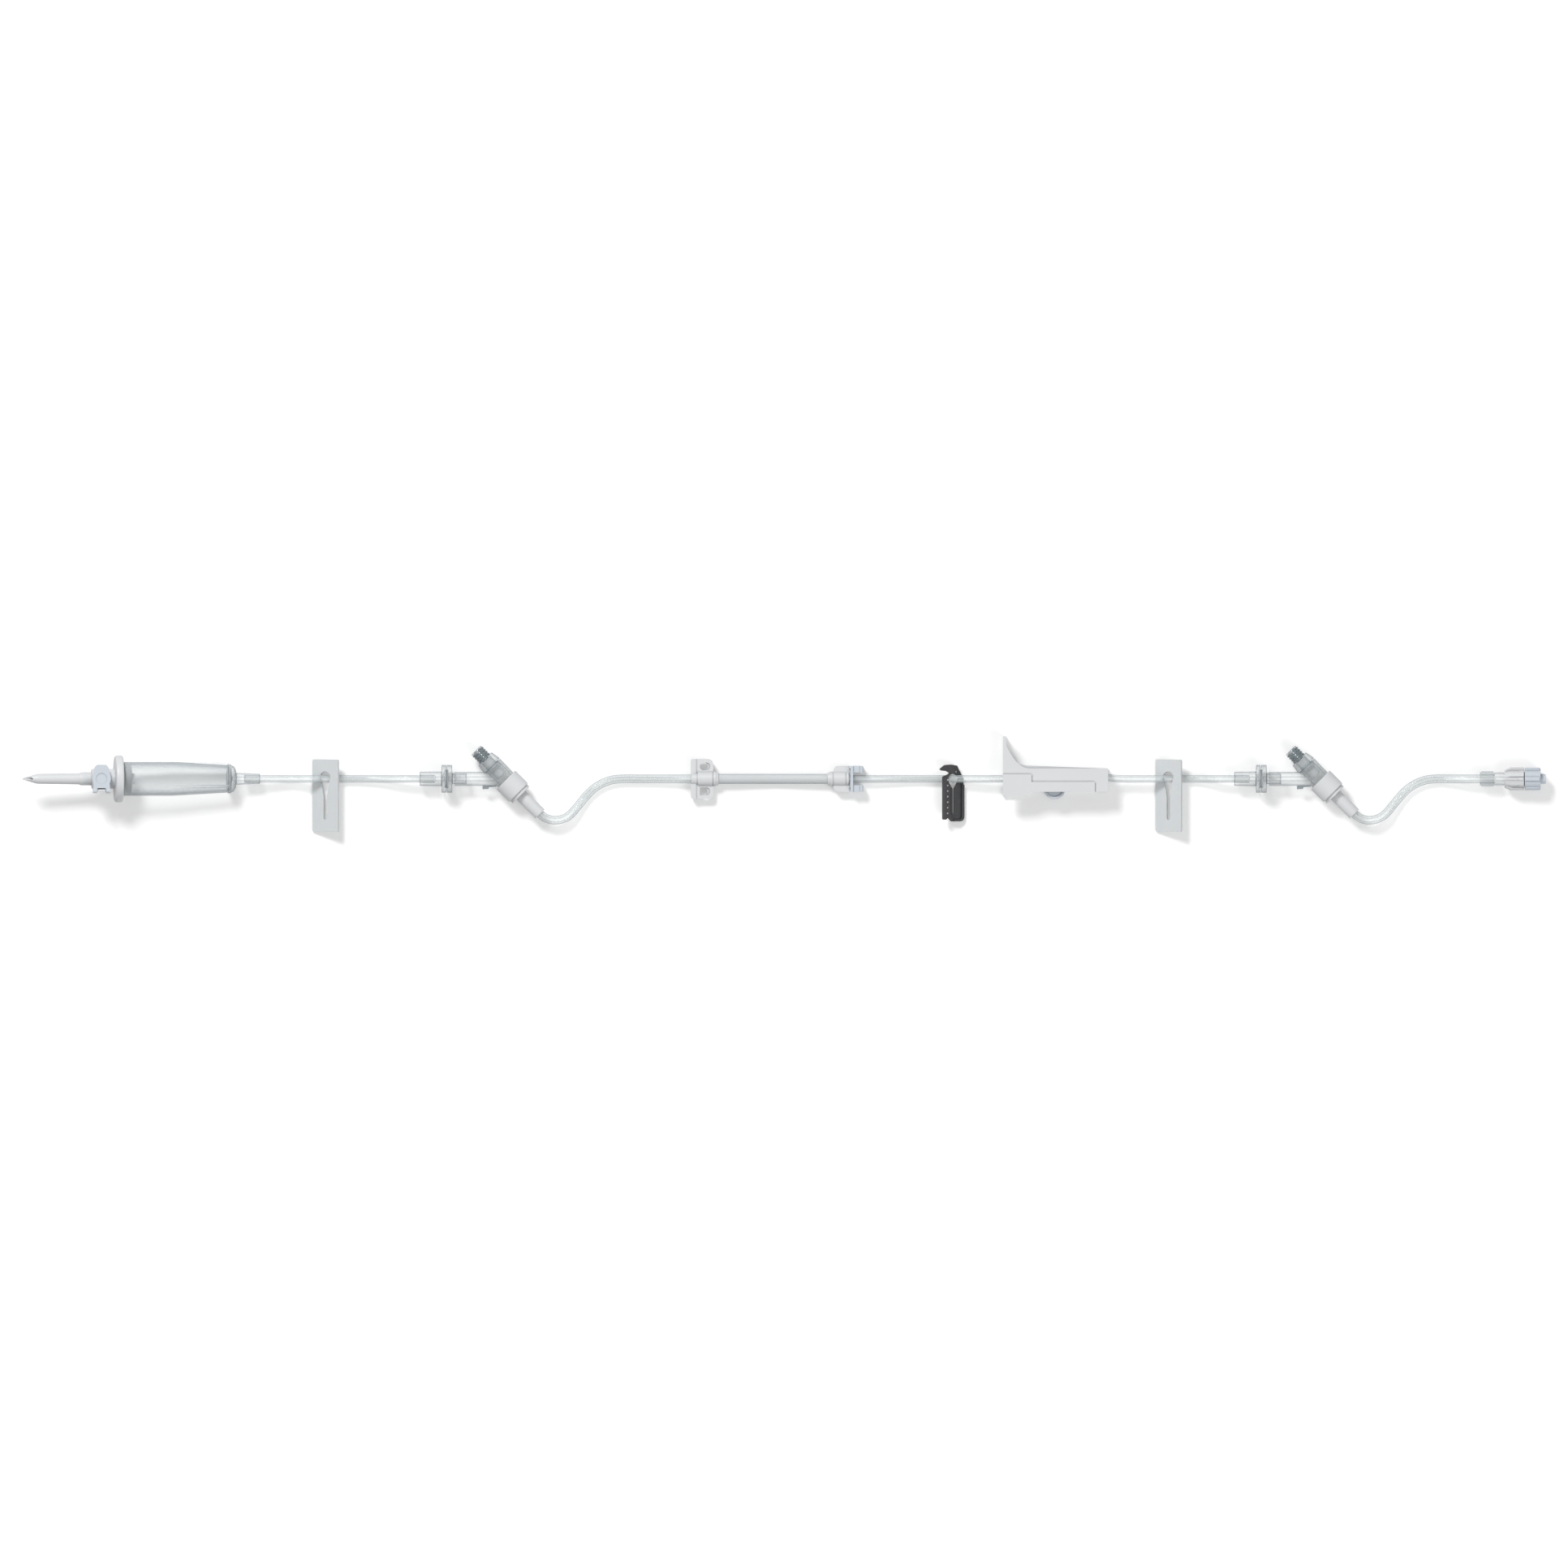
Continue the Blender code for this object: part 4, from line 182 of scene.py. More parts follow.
sky_level = 0.3
bpy.context.scene.world = bpy.data.worlds.new("pale_sky")
sky = Shading(bpy.context.scene.world)
sky_strength = sky_level + sky.seen("Camera", "Transmission", "Glossy") * (1 - sky_level)
sky.links.new(sky_strength.socket, sky.nodes["Background"].inputs["Strength"])
sky.nodes["Background"].inputs["Color"].default_value = (1, 1, 1, 1)

for lamp_name, lamp_spot, lamp_size, lamp_power in (
    ("lamp_back_left", (-1.19, 2.04, 2.45), 0.95, 78.0),
    ("lamp_front_right", (1.6, -1.5, 2.0), 1.8, 30.0),
):
    lamp = placed(lamp_name, bpy.data.lights.new(lamp_name, "AREA"))
    lamp.data.size = lamp_size
    lamp.data.energy = lamp_power
    lamp.location = lamp_spot
    lamp.rotation_euler = (-Vector(lamp_spot)).to_track_quat("-Z", "Y").to_euler()


# Tubing
# Clear flexible PVC, extruded with a thin wall, and one softer, thicker silicone stretch for the
# pump's fingers. Each length is bonded into the socket of the fitting at either end.
line_tube, y_tube, pump_tube, tube_bore = 0.00195, 0.00225, 0.0026, 0.0012
line_y = 0.0027
path_step = 0.0009
merge_reach = 0.000005
crease = 32


class Tree:
    """A Geometry Nodes group with named inputs, run once on a mesh or curve."""

    def __init__(self, name, **sizes):
        self.group = bpy.data.node_groups.new(name, "GeometryNodeTree")
        self.socket("Geometry", "INPUT", "Geometry")
        self.keys = {}
        for key, kind in {**sizes, "Material": "Material"}.items():
            self.keys[key] = self.socket(key, "INPUT", kind).identifier
        self.socket("Geometry", "OUTPUT", "Geometry")
        self.given = self.group.nodes.new("NodeGroupInput")

    def socket(self, name, side, kind):
        return self.group.interface.new_socket(name, in_out=side, socket_type="NodeSocket" + kind)

    def add(self, kind, inputs, output=0, **settings):
        node = self.group.nodes.new(kind)
        for name, value in settings.items():
            setattr(node, name, value)
        for name, value in inputs.items():
            sockets = value if isinstance(value, list) else [value]
            if not isinstance(sockets[0], bpy.types.NodeSocket):
                node.inputs[name].default_value = value
                continue
            for socket in sockets:
                self.group.links.new(socket, node.inputs[name])
        return node.outputs[output]

    def value(self, key):
        return self.given.outputs[key]

    def end(self, geometry):
        real = self.add("GeometryNodeRealizeInstances", {"Geometry": geometry})
        inputs = {"Geometry": real, "Material": self.value("Material")}
        painted = self.add("GeometryNodeSetMaterial", inputs)
        self.group.links.new(painted, self.group.nodes.new("NodeGroupOutput").inputs[0])

    def run(self, data, finish, **sizes):
        """The mesh that the tree makes of some mesh or curve data."""
        carrier = placed("carrier", data)
        modifier = carrier.modifiers.new("tree", "NODES")
        modifier.node_group = self.group
        for key, value in {**sizes, "Material": finish.material}.items():
            modifier[self.keys[key]] = value
        graph = bpy.context.evaluated_depsgraph_get()
        mesh = bpy.data.meshes.new_from_object(carrier.evaluated_get(graph))
        bpy.data.objects.remove(carrier)
        return mesh


hose = Tree("hose", Outer="Float", Bore="Float", Sides="Int")
walls = []
for wall in ("Outer", "Bore"):
    sizes = {"Resolution": hose.value("Sides"), "Radius": hose.value(wall)}
    ring = hose.add("GeometryNodeCurvePrimitiveCircle", sizes)
    sweep = {"Curve": hose.value("Geometry"), "Profile Curve": ring}
    walls.append(hose.add("GeometryNodeCurveToMesh", sweep))
walls[0] = hose.add("GeometryNodeFlipFaces", {"Mesh": walls[0]})
hose.end(hose.add("GeometryNodeJoinGeometry", {0: walls}))


def smooth_path(route):
    """Close points on a smooth curve through a route's points."""
    knots = [Vector(point) for point in route]
    knots = [2 * knots[0] - knots[1], *knots, 2 * knots[-1] - knots[-2]]
    path = [knots[1]]
    for a, b, c, d in zip(knots, knots[1:], knots[2:], knots[3:]):
        t1 = math.sqrt((b - a).length)
        t2 = t1 + math.sqrt((c - b).length)
        t3 = t2 + math.sqrt((d - c).length)
        steps = math.ceil((c - b).length / path_step)
        for step in range(1, steps + 1):
            t = t1 + (t2 - t1) * step / steps
            ab = a.lerp(b, t / t1)
            bc = b.lerp(c, (t - t1) / (t2 - t1))
            cd = c.lerp(d, (t - t2) / (t3 - t2))
            near = ab.lerp(bc, t / t2)
            far = bc.lerp(cd, (t - t1) / (t3 - t1))
            path.append(near.lerp(far, (t - t1) / (t2 - t1)))
    return path


def dressed(name, mesh, finish, slot, *nodes, body="line"):
    """The finished piece, which rides on its body and takes the place of its solid.

    A mesh that already has its finishes is given none here.
    """
    if finish:
        mesh.materials.clear()
        mesh.materials.append(finish.material)
        mesh.polygons.foreach_set("material_index", [0] * len(mesh.polygons))
    shape = bmesh.new()
    shape.from_mesh(mesh)
    bmesh.ops.remove_doubles(shape, verts=shape.verts, dist=merge_reach)
    bmesh.ops.recalc_face_normals(shape, faces=shape.faces)
    shape.to_mesh(mesh)
    shape.free()
    mesh.shade_smooth()
    mesh.set_sharp_from_angle(angle=math.radians(crease))
    made = placed(name, mesh)
    made.modifiers.new("flat faces shade flat", "WEIGHTED_NORMAL").keep_sharp = True
    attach(made, body)
    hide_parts(*nodes)
    return made


def tubing(name, route, radius, finish, slot):
    """A bonded length of tubing, which lies on the table where its route would sink into it."""
    path = [Vector((x, y, max(z, radius))) for x, y, z in smooth_path(route)]
    curve = bpy.data.curves.new(name, "CURVE")
    curve.dimensions = "3D"
    spline = curve.splines.new("POLY")
    spline.points.add(len(path) - 1)
    for point, spot in zip(spline.points, path):
        point.co = (*spot, 1)
    mesh = hose.run(curve, finish, Outer=radius, Bore=tube_bore, Sides=32)
    shape = bmesh.new()
    shape.from_mesh(mesh)
    bmesh.ops.remove_doubles(shape, verts=shape.verts, dist=merge_reach)
    for end in (path[0], path[-1]):
        near = [e for e in shape.edges if (e.verts[0].co - end).length < radius * 1.1]
        bmesh.ops.bridge_loops(shape, edges=[e for e in near if e.is_boundary])
    shape.to_mesh(mesh)
    shape.free()
    made = dressed(name + "_tubing", mesh, finish, slot, name)


pvc = Finish("clear_pvc", (0.86, 0.91, 0.92), 0.12, IOR=1.53, Coat_Weight=0.2)
# Painted shade: the tube's colour darkens and grows more opaque towards its outline, where it turns
# from the camera.
pvc_edge = pvc.edge(0.42)
pvc.colour(pvc_edge ** 1.4, (0.84, 0.9, 0.91), (0.13, 0.18, 0.2))
pvc.drive("Alpha", 0.15 + (pvc_edge ** 1.15) * 0.83)
pvc.roughen(0.08, 0.08, 260)
pvc.bump(pvc.noise(120, 2.0), 0.000006)

silicone = Finish("translucent_silicone", (0.8, 0.84, 0.85), 0.34, IOR=1.42)
# Painted shade: the colour darkens towards the outline, where the surface turns from the camera.
silicone_edge = silicone.edge(0.45)
silicone.colour(silicone_edge ** 1.4, (0.82, 0.85, 0.86), (0.26, 0.31, 0.34))
silicone.drive("Alpha", 0.66 + silicone_edge * 0.34)
silicone.roughen(0.3, 0.14, 400)
silicone.bump(silicone.noise(1500, 4.0), 0.00003)

upper_route = [
    (-0.28226, line_y, 0.00697), (-0.27459, line_y, 0.00635), (-0.26861, line_y, 0.00587),
    (-0.25849, line_y, 0.00459), (-0.24917, line_y, 0.00669), (-0.24458, line_y, 0.00612),
    (-0.23999, line_y, 0.00439), (-0.2354, line_y, 0.00267), (-0.23081, line_y, 0.0021),
    (-0.22249, line_y, 0.0021), (-0.21249, line_y, 0.0032), (-0.20019, line_y, 0.0064),
    (-0.19069, line_y, 0.0073), (-0.18299, line_y, 0.0073),
]
middle_route = [
    (-0.13466, -0.00883, 0.0073), (-0.1278, -0.01568, 0.0073), (-0.12548, -0.01746, 0.00717),
    (-0.12278, -0.01858, 0.00682), (-0.11988, -0.01897, 0.0063), (-0.11638, -0.01845, 0.00552),
    (-0.11318, -0.01696, 0.00466), (-0.11054, -0.01461, 0.00381), (-0.10687, -0.01024, 0.0027),
    (-0.10321, -0.00587, y_tube), (-0.09943, -0.00226, y_tube), (-0.09497, 0.00045, y_tube),
    (-0.09002, 0.00213, y_tube), (-0.08482, line_y, y_tube), (-0.0748, line_y, y_tube),
    (-0.0588, line_y, 0.0029), (-0.0488, line_y, 0.0039), (-0.0411, line_y, 0.0039),
]
pump_route = [
    (-0.0394, line_y, 0.0039), (-0.0342, line_y, 0.0039), (-0.0222, line_y, 0.0034),
    (-0.0057, line_y, 0.0027), (0.0108, line_y, 0.0034), (0.0228, line_y, 0.0039),
    (0.028, line_y, 0.0039),
]
lower_route = [
    (0.0307, line_y, 0.0039), (0.0424, line_y, 0.0037), (0.0574, line_y, 0.0027),
    (0.0674, line_y, 0.0021), (0.08242, line_y, 0.0021), (0.08541, line_y, 0.00247),
    (0.0884, line_y, 0.00359), (0.09139, line_y, 0.00472), (0.09438, line_y, 0.00509),
    (0.10765, line_y, 0.0069), (0.11665, 0.003, 0.0075), (0.1295, 0.00507, 0.0075),
    (0.14165, 0.00619, 0.0075), (0.15795, 0.0048, 0.0075), (0.16975, 0.00322, 0.0073),
    (0.17775, line_y, 0.0066), (0.19232, line_y, 0.00669), (0.19691, line_y, 0.00612),
    (0.2015, line_y, 0.00439), (0.20609, line_y, 0.00267), (0.21068, line_y, 0.0021),
    (0.2185, line_y, 0.0029), (0.2278, line_y, 0.0065), (0.2358, line_y, 0.0073),
    (0.2435, line_y, 0.0073),
]
outlet_route = [
    (0.29182, -0.00883, 0.0073), (0.29868, -0.01568, 0.0073), (0.301, -0.01746, 0.00717),
    (0.3037, -0.01858, 0.00682), (0.3066, -0.01897, 0.0063), (0.3101, -0.01845, 0.00552),
    (0.31331, -0.01696, 0.00466), (0.31595, -0.01461, 0.00381), (0.31961, -0.01024, 0.0027),
    (0.32328, -0.00587, y_tube), (0.32705, -0.00226, y_tube), (0.33152, 0.00045, y_tube),
    (0.33647, 0.00213, y_tube), (0.34166, line_y, y_tube), (0.34638, line_y, 0.00285),
    (0.35738, line_y, 0.0057), (0.36438, line_y, 0.0063), (0.37208, line_y, 0.0063),
]
tubing("upper_tube", upper_route, line_tube, pvc, "clear_tubing")
tubing("middle_tube", middle_route, y_tube, pvc, "clear_tubing")
tubing("pump_segment", pump_route, pump_tube, silicone, "silicone")
tubing("lower_tube", lower_route, line_tube, pvc, "clear_tubing")
tubing("outlet_tube", outlet_route, y_tube, pvc, "clear_tubing")


# Spike
# White ABS moulded in one with its collar, the vent neck, the finger flange and the plug that is
# welded into the drip chamber. Two bores run through it: the fluid's, and the air's up to the vent.
upright = Matrix(((0, 1, 0, 0), (0, 0, 1, 0), (1, 0, 0, 0), (0, 0, 0, 1)))
across = Matrix(((0, 0, 1, 0), (1, 0, 0, 0), (0, 1, 0, 0), (0, 0, 0, 1)))


def at(x, y, z):
    return Matrix.Translation((x, y, z))


def spun(degrees, axis):
    return Matrix.Rotation(math.radians(degrees), 4, axis)


def frame_at(x, y, z, tilt=0.0, turn=0.0):
    """The frame of a group of pieces: its place, its turn about Z and its tilt about Y."""
    return at(x, y, z) @ spun(turn, "Z") @ spun(tilt, "Y")


def arc(x, y, radius, start, end, steps=10):
    turns = [math.radians(start + (end - start) * k / steps) for k in range(steps + 1)]
    return [(x + radius * math.cos(t), y + radius * math.sin(t)) for t in turns]


def soft(corners, radius=0.0002, steps=3):
    """A closed outline with each corner rounded, by its own radius where it gives one."""
    outline = []
    for k, (x, y, *own) in enumerate(corners):
        here = Vector((x, y))
        back = Vector(corners[k - 1][:2]) - here
        ahead = Vector(corners[(k + 1) % len(corners)][:2]) - here
        turn = back.angle(ahead, math.pi) if back.length and ahead.length else math.pi
        size = own[0] if own else radius
        if size == 0 or turn > math.radians(172) or turn < math.radians(4):
            outline.append(here)
            continue
        reach = min(size / math.tan(turn / 2), back.length * 0.45, ahead.length * 0.45)
        first, last = here + back.normalized() * reach, here + ahead.normalized() * reach
        for step in range(steps + 1):
            t = step / steps
            outline.append(first.lerp(here, t).lerp(here.lerp(last, t), t))
    return outline


narrow_band = 0.00022


def lathe(outline, sides=72, place=Matrix()):
    """A closed outline of places along X and radii, turned about the X axis.

    Its narrow bands are rounded corners, and take the second finish where the piece has one.
    """
    shape = bmesh.new()
    rings = []
    turns = [2 * math.pi * k / sides for k in range(sides)]
    for x, radius in outline:
        around = [(x, radius * math.cos(t), radius * math.sin(t)) for t in turns]
        around = around if radius > 1e-7 else around[:1]
        ring = [shape.verts.new(place @ Vector(spot)) for spot in around]
        rings.append(ring * (sides // len(ring)))
    for k, ring in enumerate(rings):
        after = rings[(k + 1) % len(rings)]
        width = (Vector(outline[k]) - Vector(outline[(k + 1) % len(rings)])).length
        for j in range(sides):
            i = (j + 1) % sides
            face = list(dict.fromkeys([ring[j], ring[i], after[i], after[j]]))
            if len(face) > 2:
                shape.faces.new(face).material_index = int(width < narrow_band)
    bmesh.ops.recalc_face_normals(shape, faces=shape.faces)
    return shape


def rod(start, end, radius, sides=40, place=Matrix()):
    return lathe([(start, 0), (start, radius), (end, radius), (end, 0)], sides, place)


def turned(profile, place=Matrix(), sides=88, finishes=(), **easing):
    """A plain turned piece, from the corners of its profile."""
    return moulded(lathe(soft(profile, **easing), sides), place=place, finishes=finishes)


def prism(outline, low, high, place=Matrix()):
    shape = bmesh.new()
    rings = [[shape.verts.new(place @ Vector((x, y, z))) for x, y in outline] for z in (low, high)]
    for k in range(len(outline)):
        i = (k + 1) % len(outline)
        shape.faces.new((rings[0][k], rings[0][i], rings[1][i], rings[1][k]))
    shape.faces.new(rings[0])
    shape.faces.new(rings[1])
    bmesh.ops.recalc_face_normals(shape, faces=shape.faces)
    return shape


def rectangle(left, low, right, high):
    return [(left, low), (right, low), (right, high), (left, high)]


def block(low, high):
    return prism(rectangle(low[0], low[1], high[0], high[1]), low[2], high[2])


def moulded(base, added=(), cut=(), place=Matrix(), edge=0.0, finishes=()):
    """One moulding: shapes are joined to the base, others cut from it, and its edges are eased.

    Where a second finish is given, the eased edges take it.
    """
    loose = []
    for shape in (base, *added, *cut):
        mesh = bpy.data.meshes.new("shape")
        shape.to_mesh(mesh)
        shape.free()
        loose.append(placed("shape", mesh))
    for k, tool in enumerate(loose[1:]):
        modifier = loose[0].modifiers.new("join or cut", "BOOLEAN")
        modifier.operation = "UNION" if k < len(added) else "DIFFERENCE"
        modifier.solver = "MANIFOLD"
        modifier.object = tool
    for finish in finishes:
        loose[0].data.materials.append(finish.material)
    if edge:
        eased = loose[0].modifiers.new("eased edges", "BEVEL")
        eased.width = edge
        eased.material = len(finishes) - 1
        eased.segments = 2
        eased.limit_method = "ANGLE"
        eased.angle_limit = math.radians(38)
    graph = bpy.context.evaluated_depsgraph_get()
    mesh = bpy.data.meshes.new_from_object(loose[0].evaluated_get(graph))
    for shape in loose:
        bpy.data.objects.remove(shape)
    mesh.transform(place)
    return mesh


def moulded_plastic(name, colour, roughness, grain=900, depth=0.00001):
    """Satin moulded plastic with painted shade darkening its corners, faintly uneven, with the
    mould's texture.
    """
    finish = Finish(name, colour, roughness, IOR=1.52)
    # Painted shade: ambient occlusion darkens the colour to about half in corners and between
    # parts, and a faint random tone lies over it.
    shade = tuple(channel * 0.48 for channel in colour)
    painted_shade_and_tone = finish.hollow(0.0012) ** 0.8 + finish.noise(55, 2.0) * 0.1
    finish.colour(painted_shade_and_tone, colour, shade)
    finish.roughen(roughness - 0.05, 0.12, grain)
    finish.bump(finish.noise(grain * 1.6, 4.0), depth)
    return finish


abs_white = moulded_plastic("white_abs", (0.72, 0.735, 0.75), 0.38)

chamber = frame_at(-0.35054, line_y, 0.012494, tilt=4.6249)
vent_at = -0.0075
neck_radius = 0.0052
stub_radius, stub_height = 0.004, 0.007
port_radius, port_depth = 0.0029, 0.0017
hinge_y, hinge_z = -0.0062, 0.007625
pin_radius = 0.00055
spike_profile = [
    (-0.0485, 0, 0), (-0.0485, 0.0003, 0.0001), (-0.0408, 0.00262, 0.004),
    (-0.0188, 0.00295, 0.0002), (-0.0176, 0.00345, 0.0003), (-0.0121, 0.00345, 0.0002),
    (-0.0121, neck_radius, 0.0005), (0, neck_radius, 0.0005), (0, 0.0123, 0.0014),
    (0.0043, 0.0123, 0.0014), (0.0043, 0.008, 0.0002), (0.0086, 0.008, 0.0004),
    (0.0086, 0.00285, 0.0003), (0.0107, 0.00285, 0.0003), (0.0107, 0, 0),
]
vent = at(vent_at, 0, 0) @ upright
stub = rod(neck_radius / 2, stub_height, stub_radius, 56, vent)
lug = arc(hinge_y, hinge_z, 0.00083, -10, 130) + arc(-0.0037, 0.0026, 0.00083, 120, 300)
lug_plate = prism(lug, vent_at - 0.0021, vent_at + 0.0021, across)
hinge = at(vent_at, hinge_y, hinge_z)
hinge_pin = rod(-0.00415, 0.00415, pin_radius, 24, hinge)
vent_port = rod(stub_height - port_depth, stub_height + 0.001, port_radius, 48, vent)
vent_bore = rod(0.0009, stub_height + 0.001, 0.0008, 24, vent)
air_bore = rod(-0.0488, vent_at + 0.0003, 0.0008, 24, at(0, 0, 0.00115))
fluid_bore = rod(-0.0445, 0.011, 0.00105, 28, at(0, 0, -0.001))
spike_mesh = moulded(
    lathe(soft(spike_profile, steps=4), 88),
    [stub, lug_plate, hinge_pin],
    [vent_port, vent_bore, air_bore, fluid_bore],
    chamber,
)
dressed("spike", spike_mesh, abs_white, "spike_plastic", "spike_body")


# Air vent
# A flip cap of cool white plastic with a finger tab, a shallow thumb dimple and two legs that clip
# round the hinge pin. Below its plug lies the white fibre disc that filters the air.
cap_thick = 0.0013
cap_under = stub_height + 0.0003 - hinge_z
tab_reach = 0.00735 - hinge_y
leg_in, leg_out = 0.00235, 0.00445
half_cap = [
    (leg_in, 0.00135, 0.0006), (leg_in, 0, 0), (leg_out, 0, 0),
    (leg_out * 0.96, -hinge_y * 0.62, 0.0008), (0.005, -hinge_y, 0.0012),
    (0.0036, -hinge_y + 0.006, 0.0012), (0.0024, tab_reach, 0.0008),
]
cap_outline = half_cap + [(-x, y, r) for x, y, r in reversed(half_cap)]
over_port = at(0, -hinge_y, 0) @ upright
cap_top = cap_under + cap_thick
plug_low = cap_under - port_depth + 0.0009
knuckles = [rod(low, high, 0.00135, 32) for low, high in ((leg_in, leg_out), (-leg_out, -leg_in))]
dimple_profile = [
    (cap_top + 0.001, 0), (cap_top + 0.001, 0.0033), (cap_top, 0.00305),
    (cap_top - 0.00035, 0.0027), (cap_top - 0.00035, 0),
]
dimple = lathe(dimple_profile, 48, over_port)
cool_white = moulded_plastic("cool_white_plastic", (0.62, 0.67, 0.73), 0.3)
cap_mesh = moulded(
    prism(soft(cap_outline, steps=5), cap_under, cap_top),
    [rod(plug_low, cap_under + cap_thick / 2, 0.0026, 48, over_port), *knuckles],
    [dimple, rod(-0.005, 0.005, pin_radius + 0.0002, 24)],
    chamber @ hinge,
    edge=0.00012,
)
dressed("vent_flip_cap", cap_mesh, cool_white, "cap_plastic", "vent_cap", body="vent_flap")

fibre = Finish("filter_fibre", (0.88, 0.88, 0.85), 0.9, Sheen_Weight=0.2)
matted = fibre.noise(3000, 6.0, (1, 3, 1))
fibre.colour(matted, (0.93, 0.93, 0.9), (0.74, 0.74, 0.71))
fibre.bump(fibre.noise(4200, 6.0, (1, 4, 1)) + fibre.noise(4200, 6.0, (4, 1, 1)), 0.00005)


def disc(start, thickness, radius):
    return [(start, 0), (start, radius), (start + thickness, radius), (start + thickness, 0)]


vent_floor = stub_height - port_depth + 0.0003
vent_mesh = turned(disc(vent_floor, 0.0006, 0.00275), chamber @ vent, 56)
dressed("vent_fibre_disc", vent_mesh, fibre, "filter_membrane", "vent_filter")


# Drip chamber
# Clear acrylic, straight and then tapered, with three thin ribs down the taper, a ring at its foot
# and a spout for the tube. A woven particle screen lies on the step inside the foot.
clear = Finish("clear_acrylic", (0.84, 0.9, 0.92), 0.06, IOR=1.49, Coat_Weight=0.3)
# Painted shade: the colour darkens and grows more opaque towards the outline, where the surface
# turns from the camera, standing in for the dark edges that refraction gives.
clear_edge = clear.edge(0.38)
clear.colour(clear_edge ** 1.2, (0.84, 0.9, 0.92), (0.08, 0.12, 0.15))
clear.drive("Alpha", (0.09 + (clear_edge ** 1.3) * 1.05).at_most(1.0))
clear.roughen(0.05, 0.06, 320)
clear.bump(clear.noise(180, 2.0, (0.2, 1, 1)), 0.00003)
# Painted shade: a dark finish for the eased edges, the narrow rounded bands, the Y-sites' web and
# the port threads, drawing their outlines.
painted_edge_shade = Finish("clear_acrylic_painted_edge_shade", (0.18, 0.23, 0.26), 0.1, IOR=1.49, Coat_Weight=0.3)
painted_edge_shade.colour(painted_edge_shade.noise(300), (0.14, 0.19, 0.22), (0.22, 0.28, 0.31))
painted_edge_shade.drive("Alpha", 0.6 + painted_edge_shade.edge(0.5) * 0.38)
acrylic = (clear, painted_edge_shade)

ring_start, ring_end, bottom_end, spout_end = 0.0594, 0.061, 0.0636, 0.0762
chamber_profile = [
    (0.0046, 0.00815), (0.0046, 0.00885), (0.0305, 0.00885, 0.01), (ring_start, 0.0072, 0.0002),
    (ring_start, 0.0076), (ring_end, 0.0076), (ring_end, 0.0072, 0.0001),
    (bottom_end - 0.0009, 0.0066, 0.0016), (bottom_end, 0.0048, 0.0008),
    (bottom_end, 0.0031, 0.0004), (spout_end, 0.00262, 0.0003), (spout_end, 0.0021, 0.0001),
    (0.0682, 0.0021, 0.0001), (0.0682, tube_bore, 0.0001), (ring_end + 0.0007, tube_bore, 0.0002),
    (ring_end, 0.0056, 0.0004), (ring_end - 0.0008, 0.0065, 0.0001), (ring_start, 0.0065, 0.0002),
    (0.0305, 0.00815, 0.01),
]
rib_profile = [(0.0305, 0.00843), (0.06, 0.00685), (0.06, 0.0085), (0.0305, 0.00881)]
ribs = [prism(rib_profile, -0.0006, 0.0006, spun(third, "X")) for third in (0, 120, 240)]
shell = lathe(soft(chamber_profile, 0.00015), 96)
chamber_mesh = moulded(shell, ribs, place=chamber, edge=0.00016, finishes=acrylic)
dressed("chamber_shell", chamber_mesh, None, "clear_plastic", "drip_chamber")

woven = Finish("woven_screen", (0.84, 0.85, 0.84), 0.7)
threads = {"Vector": woven.place(), "Scale": 900.0}
warp, weft = (
    woven.add("ShaderNodeTexWave", {"wave_type": "BANDS", "bands_direction": way}, threads, "Fac")
    for way in "YZ"
)
woven.colour(warp * weft, (0.6, 0.62, 0.62), (0.92, 0.92, 0.9))
woven.bump(warp + weft, 0.00004)
screen_mesh = turned(disc(ring_start, 0.0008, 0.0062), chamber, 72)
dressed("particle_screen", screen_mesh, woven, "filter_membrane", "fluid_filter")


# Slide clamps
# Flat plates stamped from natural polypropylene. The tube passes through the round mouth and is
# pinched shut when the plate is pushed across it, into the slot.
natural = moulded_plastic("natural_polypropylene", (0.68, 0.715, 0.73), 0.4, 600, 0.00002)
natural.shader.inputs["Subsurface Weight"].default_value = 0.15
natural.shader.inputs["Subsurface Scale"].default_value = 0.002
plate_half, plate_thick, clamp_height = 0.00775, 0.0006, 0.004395


def keyhole(radius, rise, slot, taper_end, slot_end):
    """A round mouth that narrows to a slot with a round end."""
    half = slot / 2
    foot = arc(0, -slot_end + half, half, 180, 360, 12)
    return arc(0, rise, radius, -35, 215, 40) + [(-half, -taper_end)] + foot + [(half, -taper_end)]


slide_clamps = {"upper": -0.239988, "lower": 0.201497}
plate = rectangle(-plate_half, -0.0277, plate_half, 0.0102)
for side, x in slide_clamps.items():
    clamp_mesh = moulded(
        prism(soft(plate, 0.001, 6), -plate_thick, plate_thick),
        cut=[prism(keyhole(0.0031, 0.0008, 0.002, 0.0092, 0.0215), -0.002, 0.002)],
        place=frame_at(x, line_y, clamp_height, tilt=-30),
        edge=0.00018,
    )
    name = side + "_slide_plate"
    dressed(name, clamp_mesh, natural, "clamp_plastic", side + "_slide_clamp", body=side + "_clamp")


